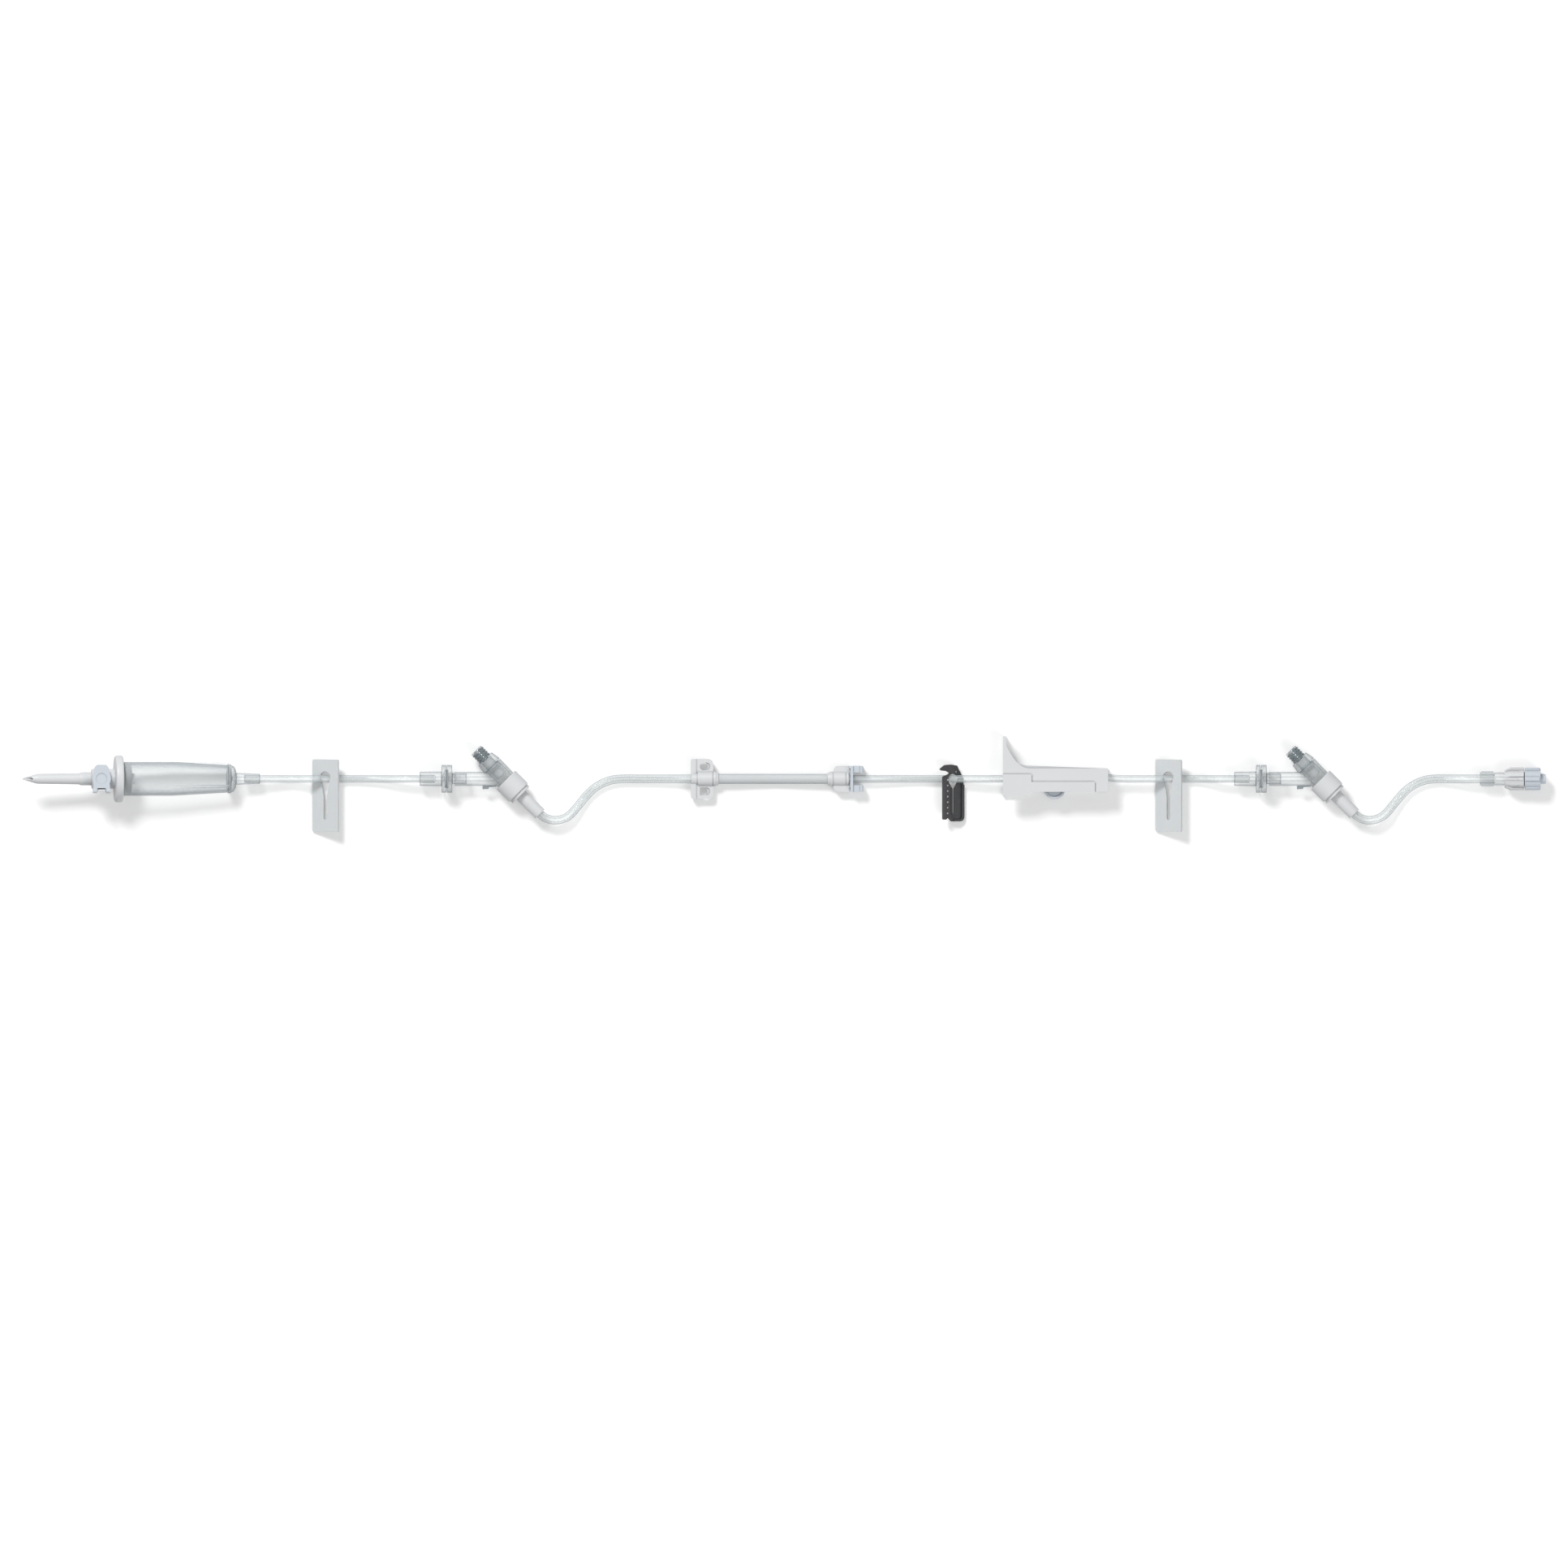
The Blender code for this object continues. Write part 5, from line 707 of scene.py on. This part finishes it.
# Check valves
# Two clear acrylic halves, welded face to face round a loose silicone flap. The inlet half has the
# long sleeve that takes the tube, and the outlet half the neck that enters the side arm.
y_sites = {"upper": -0.172388, "lower": 0.254097}
disc_radius = 0.0073
inlet_profile = [
    (0, 0.0021, 0.0003), (0, 0.00368, 0.0003), (0.0114, 0.00383, 0.0003), (0.0114, disc_radius),
    (0.01375, disc_radius), (0.01375, 0.005, 0.0001), (0.01285, 0.005, 0.0001),
    (0.01285, tube_bore, 0.0001), (0.008, tube_bore, 0.0001), (0.008, 0.0021, 0.0001),
]
outlet_profile = [
    (0.01405, 0.005, 0.0001), (0.01405, disc_radius), (0.0169, disc_radius),
    (0.0169, 0.00275, 0.0003), (0.0243, 0.00275, 0.0003), (0.0243, tube_bore, 0.0001),
    (0.01495, tube_bore, 0.0001), (0.01495, 0.005, 0.0001),
]
for side, site_x in y_sites.items():
    valve = frame_at(site_x - 0.0183, line_y, disc_radius)
    for half, profile in (("inlet", inlet_profile), ("outlet", outlet_profile)):
        half_mesh = turned(profile, valve, finishes=acrylic, radius=0.00025)
        node = f"{side}_check_valve_{half}"
        dressed(f"{side}_valve_{half}_shell", half_mesh, None, "clear_plastic", node)
    flap_mesh = turned(disc(0.0132, 0.0014, 0.0046), valve, 64, radius=0.0003)
    dressed(side + "_valve_flap", flap_mesh, silicone, "silicone", side + "_check_valve_disc")


# Y-sites
# The clear side arm and barrel are one moulding with a small web in their corner. The white base
# is pressed on the barrel's foot, and its long boot takes the tube.
arm_length, arm_radius = 0.0262, 0.00363
barrel_radius, weld, barrel_end = 0.0057, -0.0092, 0.009
barrel_place = frame_at(arm_length, 0, 0, turn=-45)
arm_profile = [
    (0, 0.0029), (0, arm_radius), (arm_length, arm_radius), (arm_length, 0), (0.0063, 0),
    (0.0063, 0.0029),
]
barrel_profile = [
    (weld, 0, 0), (weld, barrel_radius, 0.0003), (weld / 3, 0.0055, 0.002),
    (barrel_end, 0.0055, 0.0003), (barrel_end, 0, 0),
]
cavity_profile = [(weld - 0.002, 0), (weld - 0.002, 0.0044), (0.0078, 0.0044), (0.0078, 0)]
web_root = -arm_radius * 0.7
web_corners = [
    (-0.0117, web_root), (-0.0117, -0.0055), (-0.0085, -0.0053), (-0.0083, -0.0044),
    (-0.0045, -0.004), (-0.0045, web_root),
]
web = [(arm_length + x, y) for x, y in web_corners]
base_profile = [
    (0.0008, 0.00565, 0.0002), (0.0008, 0.007, 0.0004), (0.0102, 0.007, 0.0004),
    (0.0102, 0.0062, 0.0001), (0.012, 0.0062, 0.0004), (0.012, 0.00335, 0.0003),
    (0.026, 0.00335, 0.0003), (0.026, 0.0024, 0.0002), (0.016, 0.0024, 0.0001),
    (0.016, tube_bore, 0.0001), (0.0093, tube_bore, 0.0001), (0.0093, 0.00565, 0.0001),
]
for side, site_x in y_sites.items():
    arm = frame_at(site_x, line_y, disc_radius)
    web_plate = prism(soft(web, 0.0003), -0.0008, 0.0008)
    # The whole web takes the dark finish: painted shade.
    for face in web_plate.faces:
        face.material_index = 1
    y_mesh = moulded(
        lathe(soft(arm_profile, 0.0001), 64),
        [lathe(soft(barrel_profile, steps=4), 88, barrel_place), web_plate],
        [
            lathe(cavity_profile, 72, barrel_place),
            rod(0.003, arm_length, tube_bore, 28),
            rod(0, barrel_end + 0.001, tube_bore, 28, barrel_place),
        ],
        arm,
        edge=0.0001,
        finishes=acrylic,
    )
    dressed(side + "_y_shell", y_mesh, None, "clear_plastic", side + "_y_body")
    base_mesh = turned(base_profile, arm @ barrel_place)
    dressed(side + "_y_base", base_mesh, abs_white, "white_plastic", side + "_y_outlet_base")


# Needle-free ports
# A clear threaded housing, welded on the barrel, and the milky silicone piston that fills its
# mouth flush. A syringe tip presses the piston in, and it springs back.
thread_sizes = ("Start", "Length", "Turns", "Radius", "Height")
thread = Tree("thread", **dict.fromkeys(thread_sizes, "Float"))
start, length, turns, radius, height = (thread.value(size) for size in thread_sizes)
coil = {"Rotations": turns, "Start Radius": radius, "End Radius": radius, "Height": length}
helix = thread.add("GeometryNodeCurveSpiral", {"Resolution": 64, **coil})
level = thread.add("GeometryNodeSetCurveNormal", {"Curve": helix}, mode="Z_UP")
bar = thread.add("GeometryNodeCurvePrimitiveCircle", {"Resolution": 8, "Radius": height})
sweep = {"Curve": level, "Profile Curve": bar, "Fill Caps": True}
ridge = thread.add("GeometryNodeCurveToMesh", sweep)


def moved(geometry, **how):
    return thread.add("GeometryNodeTransform", {"Geometry": geometry, **how})


laid = moved(ridge, Rotation=(0, math.radians(90), 0))
shifted = moved(laid, Translation=thread.add("ShaderNodeCombineXYZ", {"X": start}))
opposite = moved(shifted, Rotation=(math.pi, 0, 0))
thread.end(thread.add("GeometryNodeJoinGeometry", {0: [shifted, opposite]}))


def joined(first, second):
    """Two meshes as one, each with its own finish."""
    shape = bmesh.new()
    shape.from_mesh(first)
    own = len(shape.faces)
    shape.from_mesh(second)
    slot = max(0, first.materials.find(second.materials[-1].name))
    for face in list(shape.faces)[own:]:
        face.material_index = slot
    shape.to_mesh(first)
    shape.free()
    return first


port_face, port_shoulder = -0.02125, -0.01425
port_profile = [
    (port_face, 0.00215, 0.0002), (port_face, 0.0034, 0.0002), (-0.0147, 0.0034, 0.0003),
    (-0.0147, 0.0049, 0.0003), (-0.010405, barrel_radius, 0.0008), (-0.0095, barrel_radius, 0.0002),
    (-0.0095, 0.00425, 0.0001), (-0.0066, 0.00425, 0.0002), (-0.0066, 0.00325, 0.0001),
    (port_shoulder, 0.00325, 0.0001), (port_shoulder, 0.00209, 0.0002),
]
piston_profile = [
    (-0.02115, 0, 0), (-0.02115, 0.00185, 0.0004), (-0.01395, 0.00185, 0.0002),
    (-0.01395, 0.003, 0.0004), (-0.00235, 0.003, 0.0003), (-0.00235, 0.0022, 0.0003),
    (-0.01315, 0.0009, 0.0003), (-0.01395, 0, 0),
]
port_thread = dict(zip(thread_sizes, (port_face + 0.0008, 0.0052, 1.75, 0.0033, 0.0005)))
for side, site_x in y_sites.items():
    barrel = frame_at(site_x, line_y, disc_radius) @ barrel_place
    # The thread ridges take the dark finish: painted shade.
    thread_mesh = thread.run(bpy.data.meshes.new("no_mesh"), painted_edge_shade, **port_thread)
    port_mesh = joined(turned(port_profile, finishes=acrylic), thread_mesh)
    port_mesh.transform(barrel)
    dressed(side + "_port_shell", port_mesh, None, "clear_plastic", side + "_y_valve_housing")
    piston_mesh = turned(piston_profile, barrel, 64)
    name = side + "_port_piston"
    dressed(name, piston_mesh, silicone, "silicone", side + "_y_valve_piston", body=side + "_port")


# Pump fitments
# White ABS ends of the pump segment. The pump locates the upper one by the round and the D-shaped
# hole beside its barrel, and the lower one by its round shoulders. Their barrels stand proud.
fitment_height, fitment_barrel, web_half = 0.0039, 0.0038, 0.0017
band = fitment_barrel - 0.0003
upper_fitment = frame_at(-0.048803, line_y, fitment_height)
upper_end = 0.0146
ear_y = 0.01045
flange = [(0, -ear_y, 0.0012), (0.0028, -ear_y, 0), (0.0028, ear_y, 0), (0, ear_y, 0.0012)]
ears = [(0.0014, -ear_y, 0), (0.0117, -ear_y, 0.0028), (0.0117, ear_y, 0.0028), (0.0014, ear_y, 0)]
upper_barrel = [
    (0.0003, 0, 0), (0.0003, 0.0031, 0.0001), (0.0036, 0.0031, 0.0001), (0.0036, fitment_barrel),
    (0.0114, fitment_barrel, 0.0001), (0.0114, band, 0), (0.0119, band, 0),
    (0.0119, fitment_height, 0.0001), (0.0131, fitment_height, 0.0001),
    (0.0131, fitment_height - 0.0002, 0), (upper_end, fitment_height - 0.0007, 0.0003),
    (upper_end, 0, 0),
]
hole_y = 0.0065


def d_hole(right, radius):
    """A hole that is flat on the left and round on the right."""
    round_side = arc(right - radius, -hole_y, radius, -90, 90, 24)
    return [(0.0047, -hole_y - radius), *round_side, (0.0047, radius - hole_y)]


upper_fitment_mesh = moulded(
    prism(soft(flange, steps=6), -web_half, web_half),
    [prism(soft(ears, steps=8), -0.0012, 0.0012), lathe(soft(upper_barrel), 72)],
    [
        rod(-0.001, 0.008, 0.0024, 48),
        rod(0, upper_end, tube_bore, 28),
        rod(upper_end - 0.0055, upper_end + 0.0005, 0.00275, 48),
        rod(-0.003, 0.003, 0.0021, 48, at(0.0068, hole_y, 0) @ upright),
        rod(0.0004, 0.003, 0.00202, 48, at(0.0081, hole_y, 0) @ upright),
        prism(soft(d_hole(0.0088, 0.00215), 0.0003), -0.003, 0.003),
        prism(soft(d_hole(0.0101, 0.00206), 0.0003), 0.0004, 0.003),
    ],
    upper_fitment,
    edge=0.00015,
)
dressed("upper_fitment_body", upper_fitment_mesh, abs_white, "white_plastic", "upper_pump_fitment")

lower_fitment = frame_at(0.022797, line_y, fitment_height)
fitment_end = 0.0116
rail_y = 0.00505
wide = 0.0068
shoulders = [
    (0.0031, -wide, 0.003), (fitment_end, -wide, 0), (fitment_end, wide, 0), (0.0031, wide, 0.003),
]
lower_barrel = [
    (0, 0, 0), (0, fitment_height - 0.0006, 0.0003), (0.0015, fitment_height - 0.0002, 0),
    (0.0015, fitment_height, 0.0001), (0.0027, fitment_height, 0.0001),
    (0.0027, fitment_height - 0.0003, 0), (0.0033, fitment_height - 0.0003, 0),
    (0.0033, fitment_barrel, 0.0003), (0.0094, fitment_barrel, 0.0001), (0.0094, band, 0),
    (0.01, band, 0), (0.01, fitment_barrel, 0.0001), (0.0109, fitment_barrel, 0.0003),
    (fitment_end, fitment_barrel - 0.0005, 0.0002), (fitment_end, 0, 0),
]
slot_half = 0.0009
rail_slots = [
    block((0.0053, y - slot_half, -slot_half), (0.013, y + slot_half, slot_half))
    for y in (-rail_y, rail_y)
]
lower_fitment_mesh = moulded(
    prism(soft(shoulders, steps=8), -web_half, web_half),
    [lathe(soft(lower_barrel), 72)],
    [
        rod(-0.001, 0.0055, 0.00275, 48),
        rod(0, fitment_end, tube_bore, 28),
        rod(0.0076, 0.013, 0.0021, 48),
        *rail_slots,
    ],
    lower_fitment,
    edge=0.00015,
)
dressed("lower_fitment_body", lower_fitment_mesh, abs_white, "white_plastic", "lower_pump_fitment")


# Flow stop
# A cool white slider that sits astride the tube behind the lower fitment. Two rails run in the
# fitment's slots and two prongs stand back for the fingers. Pushed home, it lets fluid run.
slider = lower_fitment @ at(fitment_end + 0.0003, 0, 0)
tube_gap = 0.00225
saddle = [(wide, -0.0039), (wide, 0.0039), (-wide, 0.0039), (-wide, -0.0039), (-tube_gap, -0.0039)]
saddle += arc(0, 0, tube_gap, 180, 0, 24) + [(tube_gap, -0.0039)]
rail_start, plate_end = -0.006, 0.00075
pad_start, pad_end = 0.0052, 0.0064
prongs = []
for way in (-1, 1):
    outline = [
        (plate_end, way * wide, 0), (wide, way * wide, 0.0007), (wide, way * 0.003, 0.0004),
        (pad_start, way * 0.003, 0.0001), (pad_start, way * 0.0033, 0.0001),
        (plate_end, way * 0.0033, 0),
    ]
    pad = rectangle(pad_start, way * 0.003, pad_end, way * wide)
    rail = way * rail_y
    prongs += [
        prism(soft(outline, steps=5), -0.0033, 0.0033),
        prism(soft(pad, 0.0003), -0.0037, 0.0037),
        block((rail_start, rail - 0.0006, -0.0006), (plate_end, rail + 0.0006, 0.0006)),
    ]
slider_mesh = moulded(prism(saddle, 0, 0.0015, across), prongs, place=slider, edge=0.00015)
dressed(
    "flow_slider", slider_mesh, cool_white, "slider_plastic", "flow_stop_slider",
    body="flow_stop",
)


# Hook clamp
# A one-piece clamp of dark nylon with raised rims, a tapering slot with a lip, a row of grip teeth
# and a hooked top that keeps it on the tube. It leans the other way from the slide clamps.
def copies(tree):
    """What a tree is run on, as instances, and the number of each."""
    single = tree.add("GeometryNodeGeometryToInstance", {0: tree.value("Geometry")})
    many = {"Geometry": single, "Amount": tree.value("Count")}
    copied = tree.add("GeometryNodeDuplicateElements", many, domain="INSTANCE")
    return copied, tree.add("GeometryNodeInputIndex", {})


row = Tree("row", Count="Int", Step="Vector")
several, number = copies(row)
offset = row.add("ShaderNodeVectorMath", {0: row.value("Step"), "Scale": number}, operation="SCALE")
row.end(row.add("GeometryNodeTranslateInstances", {"Instances": several, "Translation": offset}))

nylon = Finish("dark_nylon", (0.035, 0.036, 0.04), 0.42, IOR=1.53)
nylon.colour(nylon.noise(500, 4.0), (0.02, 0.021, 0.024), (0.045, 0.045, 0.048))
nylon.roughen(0.36, 0.16, 1400)
nylon.bump(nylon.noise(2200, 4.0), 0.00002)
# Painted highlights: a light grey finish on the eased edges and the grip teeth, standing in for the
# lamps' glints on the dark nylon.
nylon_highlight = Finish("nylon_painted_highlights", (0.5, 0.5, 0.51), 0.3, IOR=1.53)
nylon_highlight.colour(nylon_highlight.noise(900, 4.0), (0.34, 0.34, 0.35), (0.66, 0.66, 0.67))
nylon_highlight.roughen(0.24, 0.16, 1200)

hook = frame_at(0.088397, line_y, 0.00382, tilt=30)
hook_side, hook_foot, hook_thick, hook_top = 0.00615, -0.0223, 0.0006, 0.0016
hook_outline = [
    (-hook_side, hook_foot + 0.0009, 0.0007), (-0.00425, hook_foot + 0.0009, 0.0007),
    (-0.00315, hook_foot + 0.0021, 0.0002), (-0.001, hook_foot, 0.0006),
    (hook_side, hook_foot, 0.003), (hook_side, 0, 0.001), (0.0049, 0.0023, 0.002),
    (0.0031, 0.0055, 0.0004), (0.0025, 0.0069, 0.0008), (-0.0013, 0.0075, 0.004),
    (-0.005, 0.00725, 0.003), (-0.0081, 0.005, 0.0005), (-0.0067, 0.0043, 0.001),
    (-0.004, 0.0041, 0.001), (-0.002, 0.003, 0.0002), (-0.0034, 0.0022, 0.0005),
    (-hook_side, 0.0012, 0.0008),
]
left_rim = [
    (-hook_side, hook_foot + 0.0009, 0.0007), (-0.00465, hook_foot + 0.0009, 0.0007),
    (-0.00465, 0.0006, 0.0003), (-hook_side, 0.0006, 0.0003),
]
right_rim = [
    (0, hook_foot, 0), (hook_side, hook_foot, 0.003), (hook_side, -0.003, 0.0003),
    (0.00465, -0.003, 0.0003), (0.00465, hook_foot + 0.0012, 0.0016), (0, hook_foot + 0.0009, 0),
]
lip = arc(0, -0.0176, 0.0015, 180, 360, 16) + [(0.0015, -0.005), (-0.0015, -0.005)]
hook_mesh = moulded(
    prism(soft(hook_outline, steps=5), -hook_thick, hook_thick),
    [
        prism(soft(left_rim, steps=5), 0, hook_top),
        prism(soft(right_rim, steps=5), 0, hook_top),
        prism(lip, 0, hook_thick + 0.0004),
        block((-0.0008, hook_foot + 0.0019, 0), (0.001, hook_foot + 0.0023, 0.001)),
    ],
    [
        prism(keyhole(0.003, -0.0004, 0.0012, 0.005, 0.0182), -0.003, 0.003),
        rod(-0.003, 0.003, 0.0006, 24, at(0.002, 0.0037, 0) @ upright),
    ],
    edge=0.00026,
    # The eased edges take the painted highlight finish.
    finishes=(nylon, nylon_highlight),
)
tooth_profile = [(0.0003, 0), (0.0003, 0.00063)] + arc(0.0006, 0, 0.00055, 80, 0, 8)
tooth = moulded(lathe(tooth_profile, 20, at(-0.0036, -0.0006, 0) @ upright))
# The grip teeth are wholly in the painted highlight finish.
teeth = row.run(tooth, nylon_highlight, Count=7, Step=(0, -0.0029, 0))
hook_mesh = joined(hook_mesh, teeth)
hook_mesh.transform(hook)
dressed("hook_plate", hook_mesh, None, "dark_plastic", "hook_clamp", body="thumb_clamp")


# Roller clamp
# A white ABS channel with raised side panels and a hollow plate to hang the tube's end from. The
# sloping trough inside lets the wheel, which rolls in its two grooves, pinch the tube step by step.
housing = frame_at(0.114647, line_y, 0)
housing_length, housing_width = 0.0551, 0.015
middle = housing_width / 2
skin, wall = 0.0008, 0.0025
top, bottom, foot = 0.0055, -0.0068, -0.0093
strip, strip_end, reach = 0.0018, 0.01755, 0.0223
ridge_start, ridge_end, ridge_high, ridge_low = 0.0123, 0.0504, 0.00706, 0.00557
floor = 0.0043


def hanger_curve(inset):
    """The hollow curve from the hanging strip down to the channel's back, moved in by the wall."""
    span, steps = ridge_start + 0.0022 - strip, 32
    points = []
    for step in range(steps + 1):
        t = step / steps
        drop = (strip_end - top) * (1 - t) ** 2.3
        points.append((strip + span * t - inset * 0.8, top + drop - inset * 0.75))
    return points


def trough_floor(x):
    """The trough's floor, 0.8 mm below the top of the ridge that it is cut into."""
    fall = (ridge_low - ridge_high) * (x - ridge_start) / (ridge_end - ridge_start)
    return ridge_high + fall - 0.0008


foot_line = [(0, foot), (0.0121, foot + 0.00075), (0.015, bottom)]
side_outline = [*foot_line, (housing_length, bottom, 0.0006), (housing_length, top, 0.0004)]
side_outline += [*reversed(hanger_curve(0)), (strip, reach, 0.0002), (0, reach, 0.0002)]
panel = [*foot_line, (0.04815, bottom), (0.04815, -0.0016)]
panel += [(0.015, -0.0016), (0.015, 0.0024), (0, 0.0024)]
ridge_outline = [
    (0.0086, 0.0047), (ridge_end, 0.0047), (ridge_end, ridge_low), (ridge_start, ridge_high),
    (0.0086, 0.00762),
]
inner_curve = [(x, y) for x, y in hanger_curve(0.0016) if y > floor and x > 0]
channel = [
    (-0.001, -0.0103), (0.0561, -0.0103), (0.0561, floor), (inner_curve[-1][0] + 0.0012, floor),
    *reversed(inner_curve), (-0.001, inner_curve[0][1] + 0.0028),
]
rest_x, trough_start, trough_end = 0.027, 0.0074, 0.0433
trough = [
    (trough_start, 0), (trough_end, 0), (trough_end, floor + 0.00005),
    (rest_x, trough_floor(rest_x)), (ridge_start, trough_floor(ridge_start)),
    (trough_start, trough_floor(ridge_start)),
]
slope, groove_radius = 6.5, 0.00125
wheel_rest = Vector((rest_x, -0.0048))
along = Vector((math.cos(math.radians(slope)), math.sin(math.radians(slope))))
back, front = wheel_rest - along * 0.002, wheel_rest + along * 0.016
groove = arc(*back, groove_radius, 90 + slope, 270 + slope, 16)
groove += arc(*front, groove_radius, slope - 90, slope + 90, 16)
housing_mesh = moulded(
    prism(soft(side_outline, 0.0003), skin, housing_width - skin),
    [
        prism(soft(panel, 0.0002), 0, housing_width),
        prism(soft(ridge_outline, 0.0001), middle - 0.0032, middle + 0.0032),
    ],
    [
        prism(channel, wall, housing_width - wall),
        prism(trough, middle - 0.00235, middle + 0.00235),
        prism(groove, 0.00115, housing_width - 0.00115),
    ],
    housing,
    edge=0.00015,
)
dressed("roller_channel", housing_mesh, abs_white, "white_plastic", "roller_clamp_housing")


# Wheel of the roller clamp
# Cool white plastic, moulded in one with its two trunnions. Fine ridges across the rim grip the
# thumb, and each face has a shallow ring-shaped recess.
around = Tree("copies_about_x", Count="Int")
several, number = copies(around)
share = around.add("ShaderNodeMath", {0: number, 1: around.value("Count")}, operation="DIVIDE")
angle = around.add("ShaderNodeMath", {0: share, 1: 2 * math.pi}, operation="MULTIPLY")
about_x = around.add("ShaderNodeCombineXYZ", {"X": angle})
spin = {"Instances": several, "Rotation": about_x, "Local Space": False}
around.end(around.add("GeometryNodeRotateInstances", spin))

wheel = housing @ at(*wheel_rest, middle) @ upright
wheel_half, wheel_radius = 0.0043, 0.0059
recess = 0.0006 - wheel_half
wheel_profile = [
    (-0.00605, 0, 0), (-0.00605, 0.001, 0.0002), (recess, 0.001, 0.0001),
    (recess, 0.002, 0.0001), (-wheel_half, 0.002, 0.0001), (-wheel_half, 0.0021, 0.0001),
    (recess, 0.0023, 0.0001), (recess, 0.0044, 0.0002), (-wheel_half, 0.0046, 0.0002),
    (-wheel_half, wheel_radius - 0.00015, 0.0004),
]
wheel_profile += [(-x, *rest) for x, *rest in reversed(wheel_profile)]
bar_end = wheel_half - 0.0004
bar_profile = [(-bar_end, 0), (0.0002 - bar_end, 0.0003), (bar_end - 0.0002, 0.0003), (bar_end, 0)]
grip_bar = moulded(lathe(bar_profile, 10, at(0, 0, wheel_radius - 0.0003)))
wheel_mesh = joined(turned(wheel_profile, sides=96), around.run(grip_bar, cool_white, Count=36))
wheel_mesh.transform(wheel)
dressed("thumb_wheel", wheel_mesh, cool_white, "cap_plastic", "roller", body="wheel")


# Male luer end
# The clear luer has a six-sided bushing for the tube. The white collar turns on its neck, with
# eight broad fins, and the cool white cap with six ribs covers the cone until the line is used.
luer = frame_at(0.364382, line_y, 0.0063)
luer_profile = [
    (0.005, 0, 0), (0.005, 0.0029, 0), (0.007, 0.0029, 0), (0.007, 0.00335, 0),
    (0.0155, 0.00335, 0.0001), (0.0155, 0.004, 0.0002), (0.0164, 0.004, 0.0002),
    (0.0164, 0.00229, 0.0002), (0.0253, 0.00197, 0.0002), (0.0253, 0, 0),
]
bushing = [(0, 0), (0, 0.00344), (0.0012, 0.004), (0.007, 0.004), (0.007, 0)]
luer_mesh = moulded(
    lathe(soft(luer_profile), 88),
    [lathe(bushing, 6)],
    [rod(-0.0005, 0.008, 0.0024, 64), rod(0.0078, 0.026, tube_bore, 28)],
    luer,
    edge=0.00016,
    finishes=acrylic,
)
dressed("luer_body", luer_mesh, None, "clear_plastic", "male_luer")

collar_start, collar_end = 0.0129, 0.0232
collar_profile = [
    (collar_start, 0.0036, 0.0002), (collar_start, 0.00454, 0.0003),
    (collar_start + 0.003, 0.0052, 0.0008), (collar_start + 0.0075, 0.0052, 0.0001),
    (collar_start + 0.0075, 0.0054, 0.0001), (collar_end, 0.0054, 0.0003),
    (collar_end, 0.0043, 0.0002), (collar_start + 0.0023, 0.0043, 0.0002),
    (collar_start + 0.0023, 0.0036, 0.0001),
]
collar_fin = [
    (collar_start + 0.0004, 0.0044, 0), (collar_start + 0.0004, 0.00475, 0.0001),
    (collar_start + 0.0032, 0.0061, 0.0006), (collar_end - 0.0001, 0.0061, 0.0003),
    (collar_end - 0.0001, 0.0049, 0), (collar_start + 0.003, 0.0049, 0),
]
stand = spun(90, "X")
between = spun(22.5, "X") @ stand
fin_mesh = moulded(prism(soft(collar_fin, steps=5), -0.0011, 0.0011, between), edge=0.00022)
collar_mesh = joined(turned(collar_profile), around.run(fin_mesh, abs_white, Count=8))
collar_mesh.transform(luer)
dressed("collar_shell", collar_mesh, abs_white, "white_plastic", "lock_collar", body="collar")

cap_start, cap_end = 0.0235, 0.0318
end_cap_profile = [
    (0.0183, 0.00259, 0.0001), (0.0183, 0.00379, 0.0002), (cap_start, 0.00379, 0.0001),
    (cap_start, 0.0056, 0.0003), (cap_end, 0.0056, 0.0004), (cap_end, 0.00255, 0.0002),
    (cap_end + 0.0027, 0.00255, 0.0004), (cap_end + 0.0027, 0, 0), (0.0276, 0, 0),
    (0.0276, 0.00259, 0.0001),
]
cap_rib = [
    (cap_start + 0.0001, 0.005, 0), (cap_start + 0.0001, 0.0063, 0.0002),
    (cap_end - 0.0004, 0.0063, 0.0003), (cap_end - 0.0004, 0.005, 0),
]
rib_mesh = moulded(prism(soft(cap_rib, steps=5), -0.001, 0.001, stand), edge=0.00022)
end_cap_mesh = joined(turned(end_cap_profile), around.run(rib_mesh, cool_white, Count=6))
end_cap_mesh.transform(luer)
dressed("luer_end_cap", end_cap_mesh, cool_white, "cap_plastic", "luer_cap", body="end_cap")
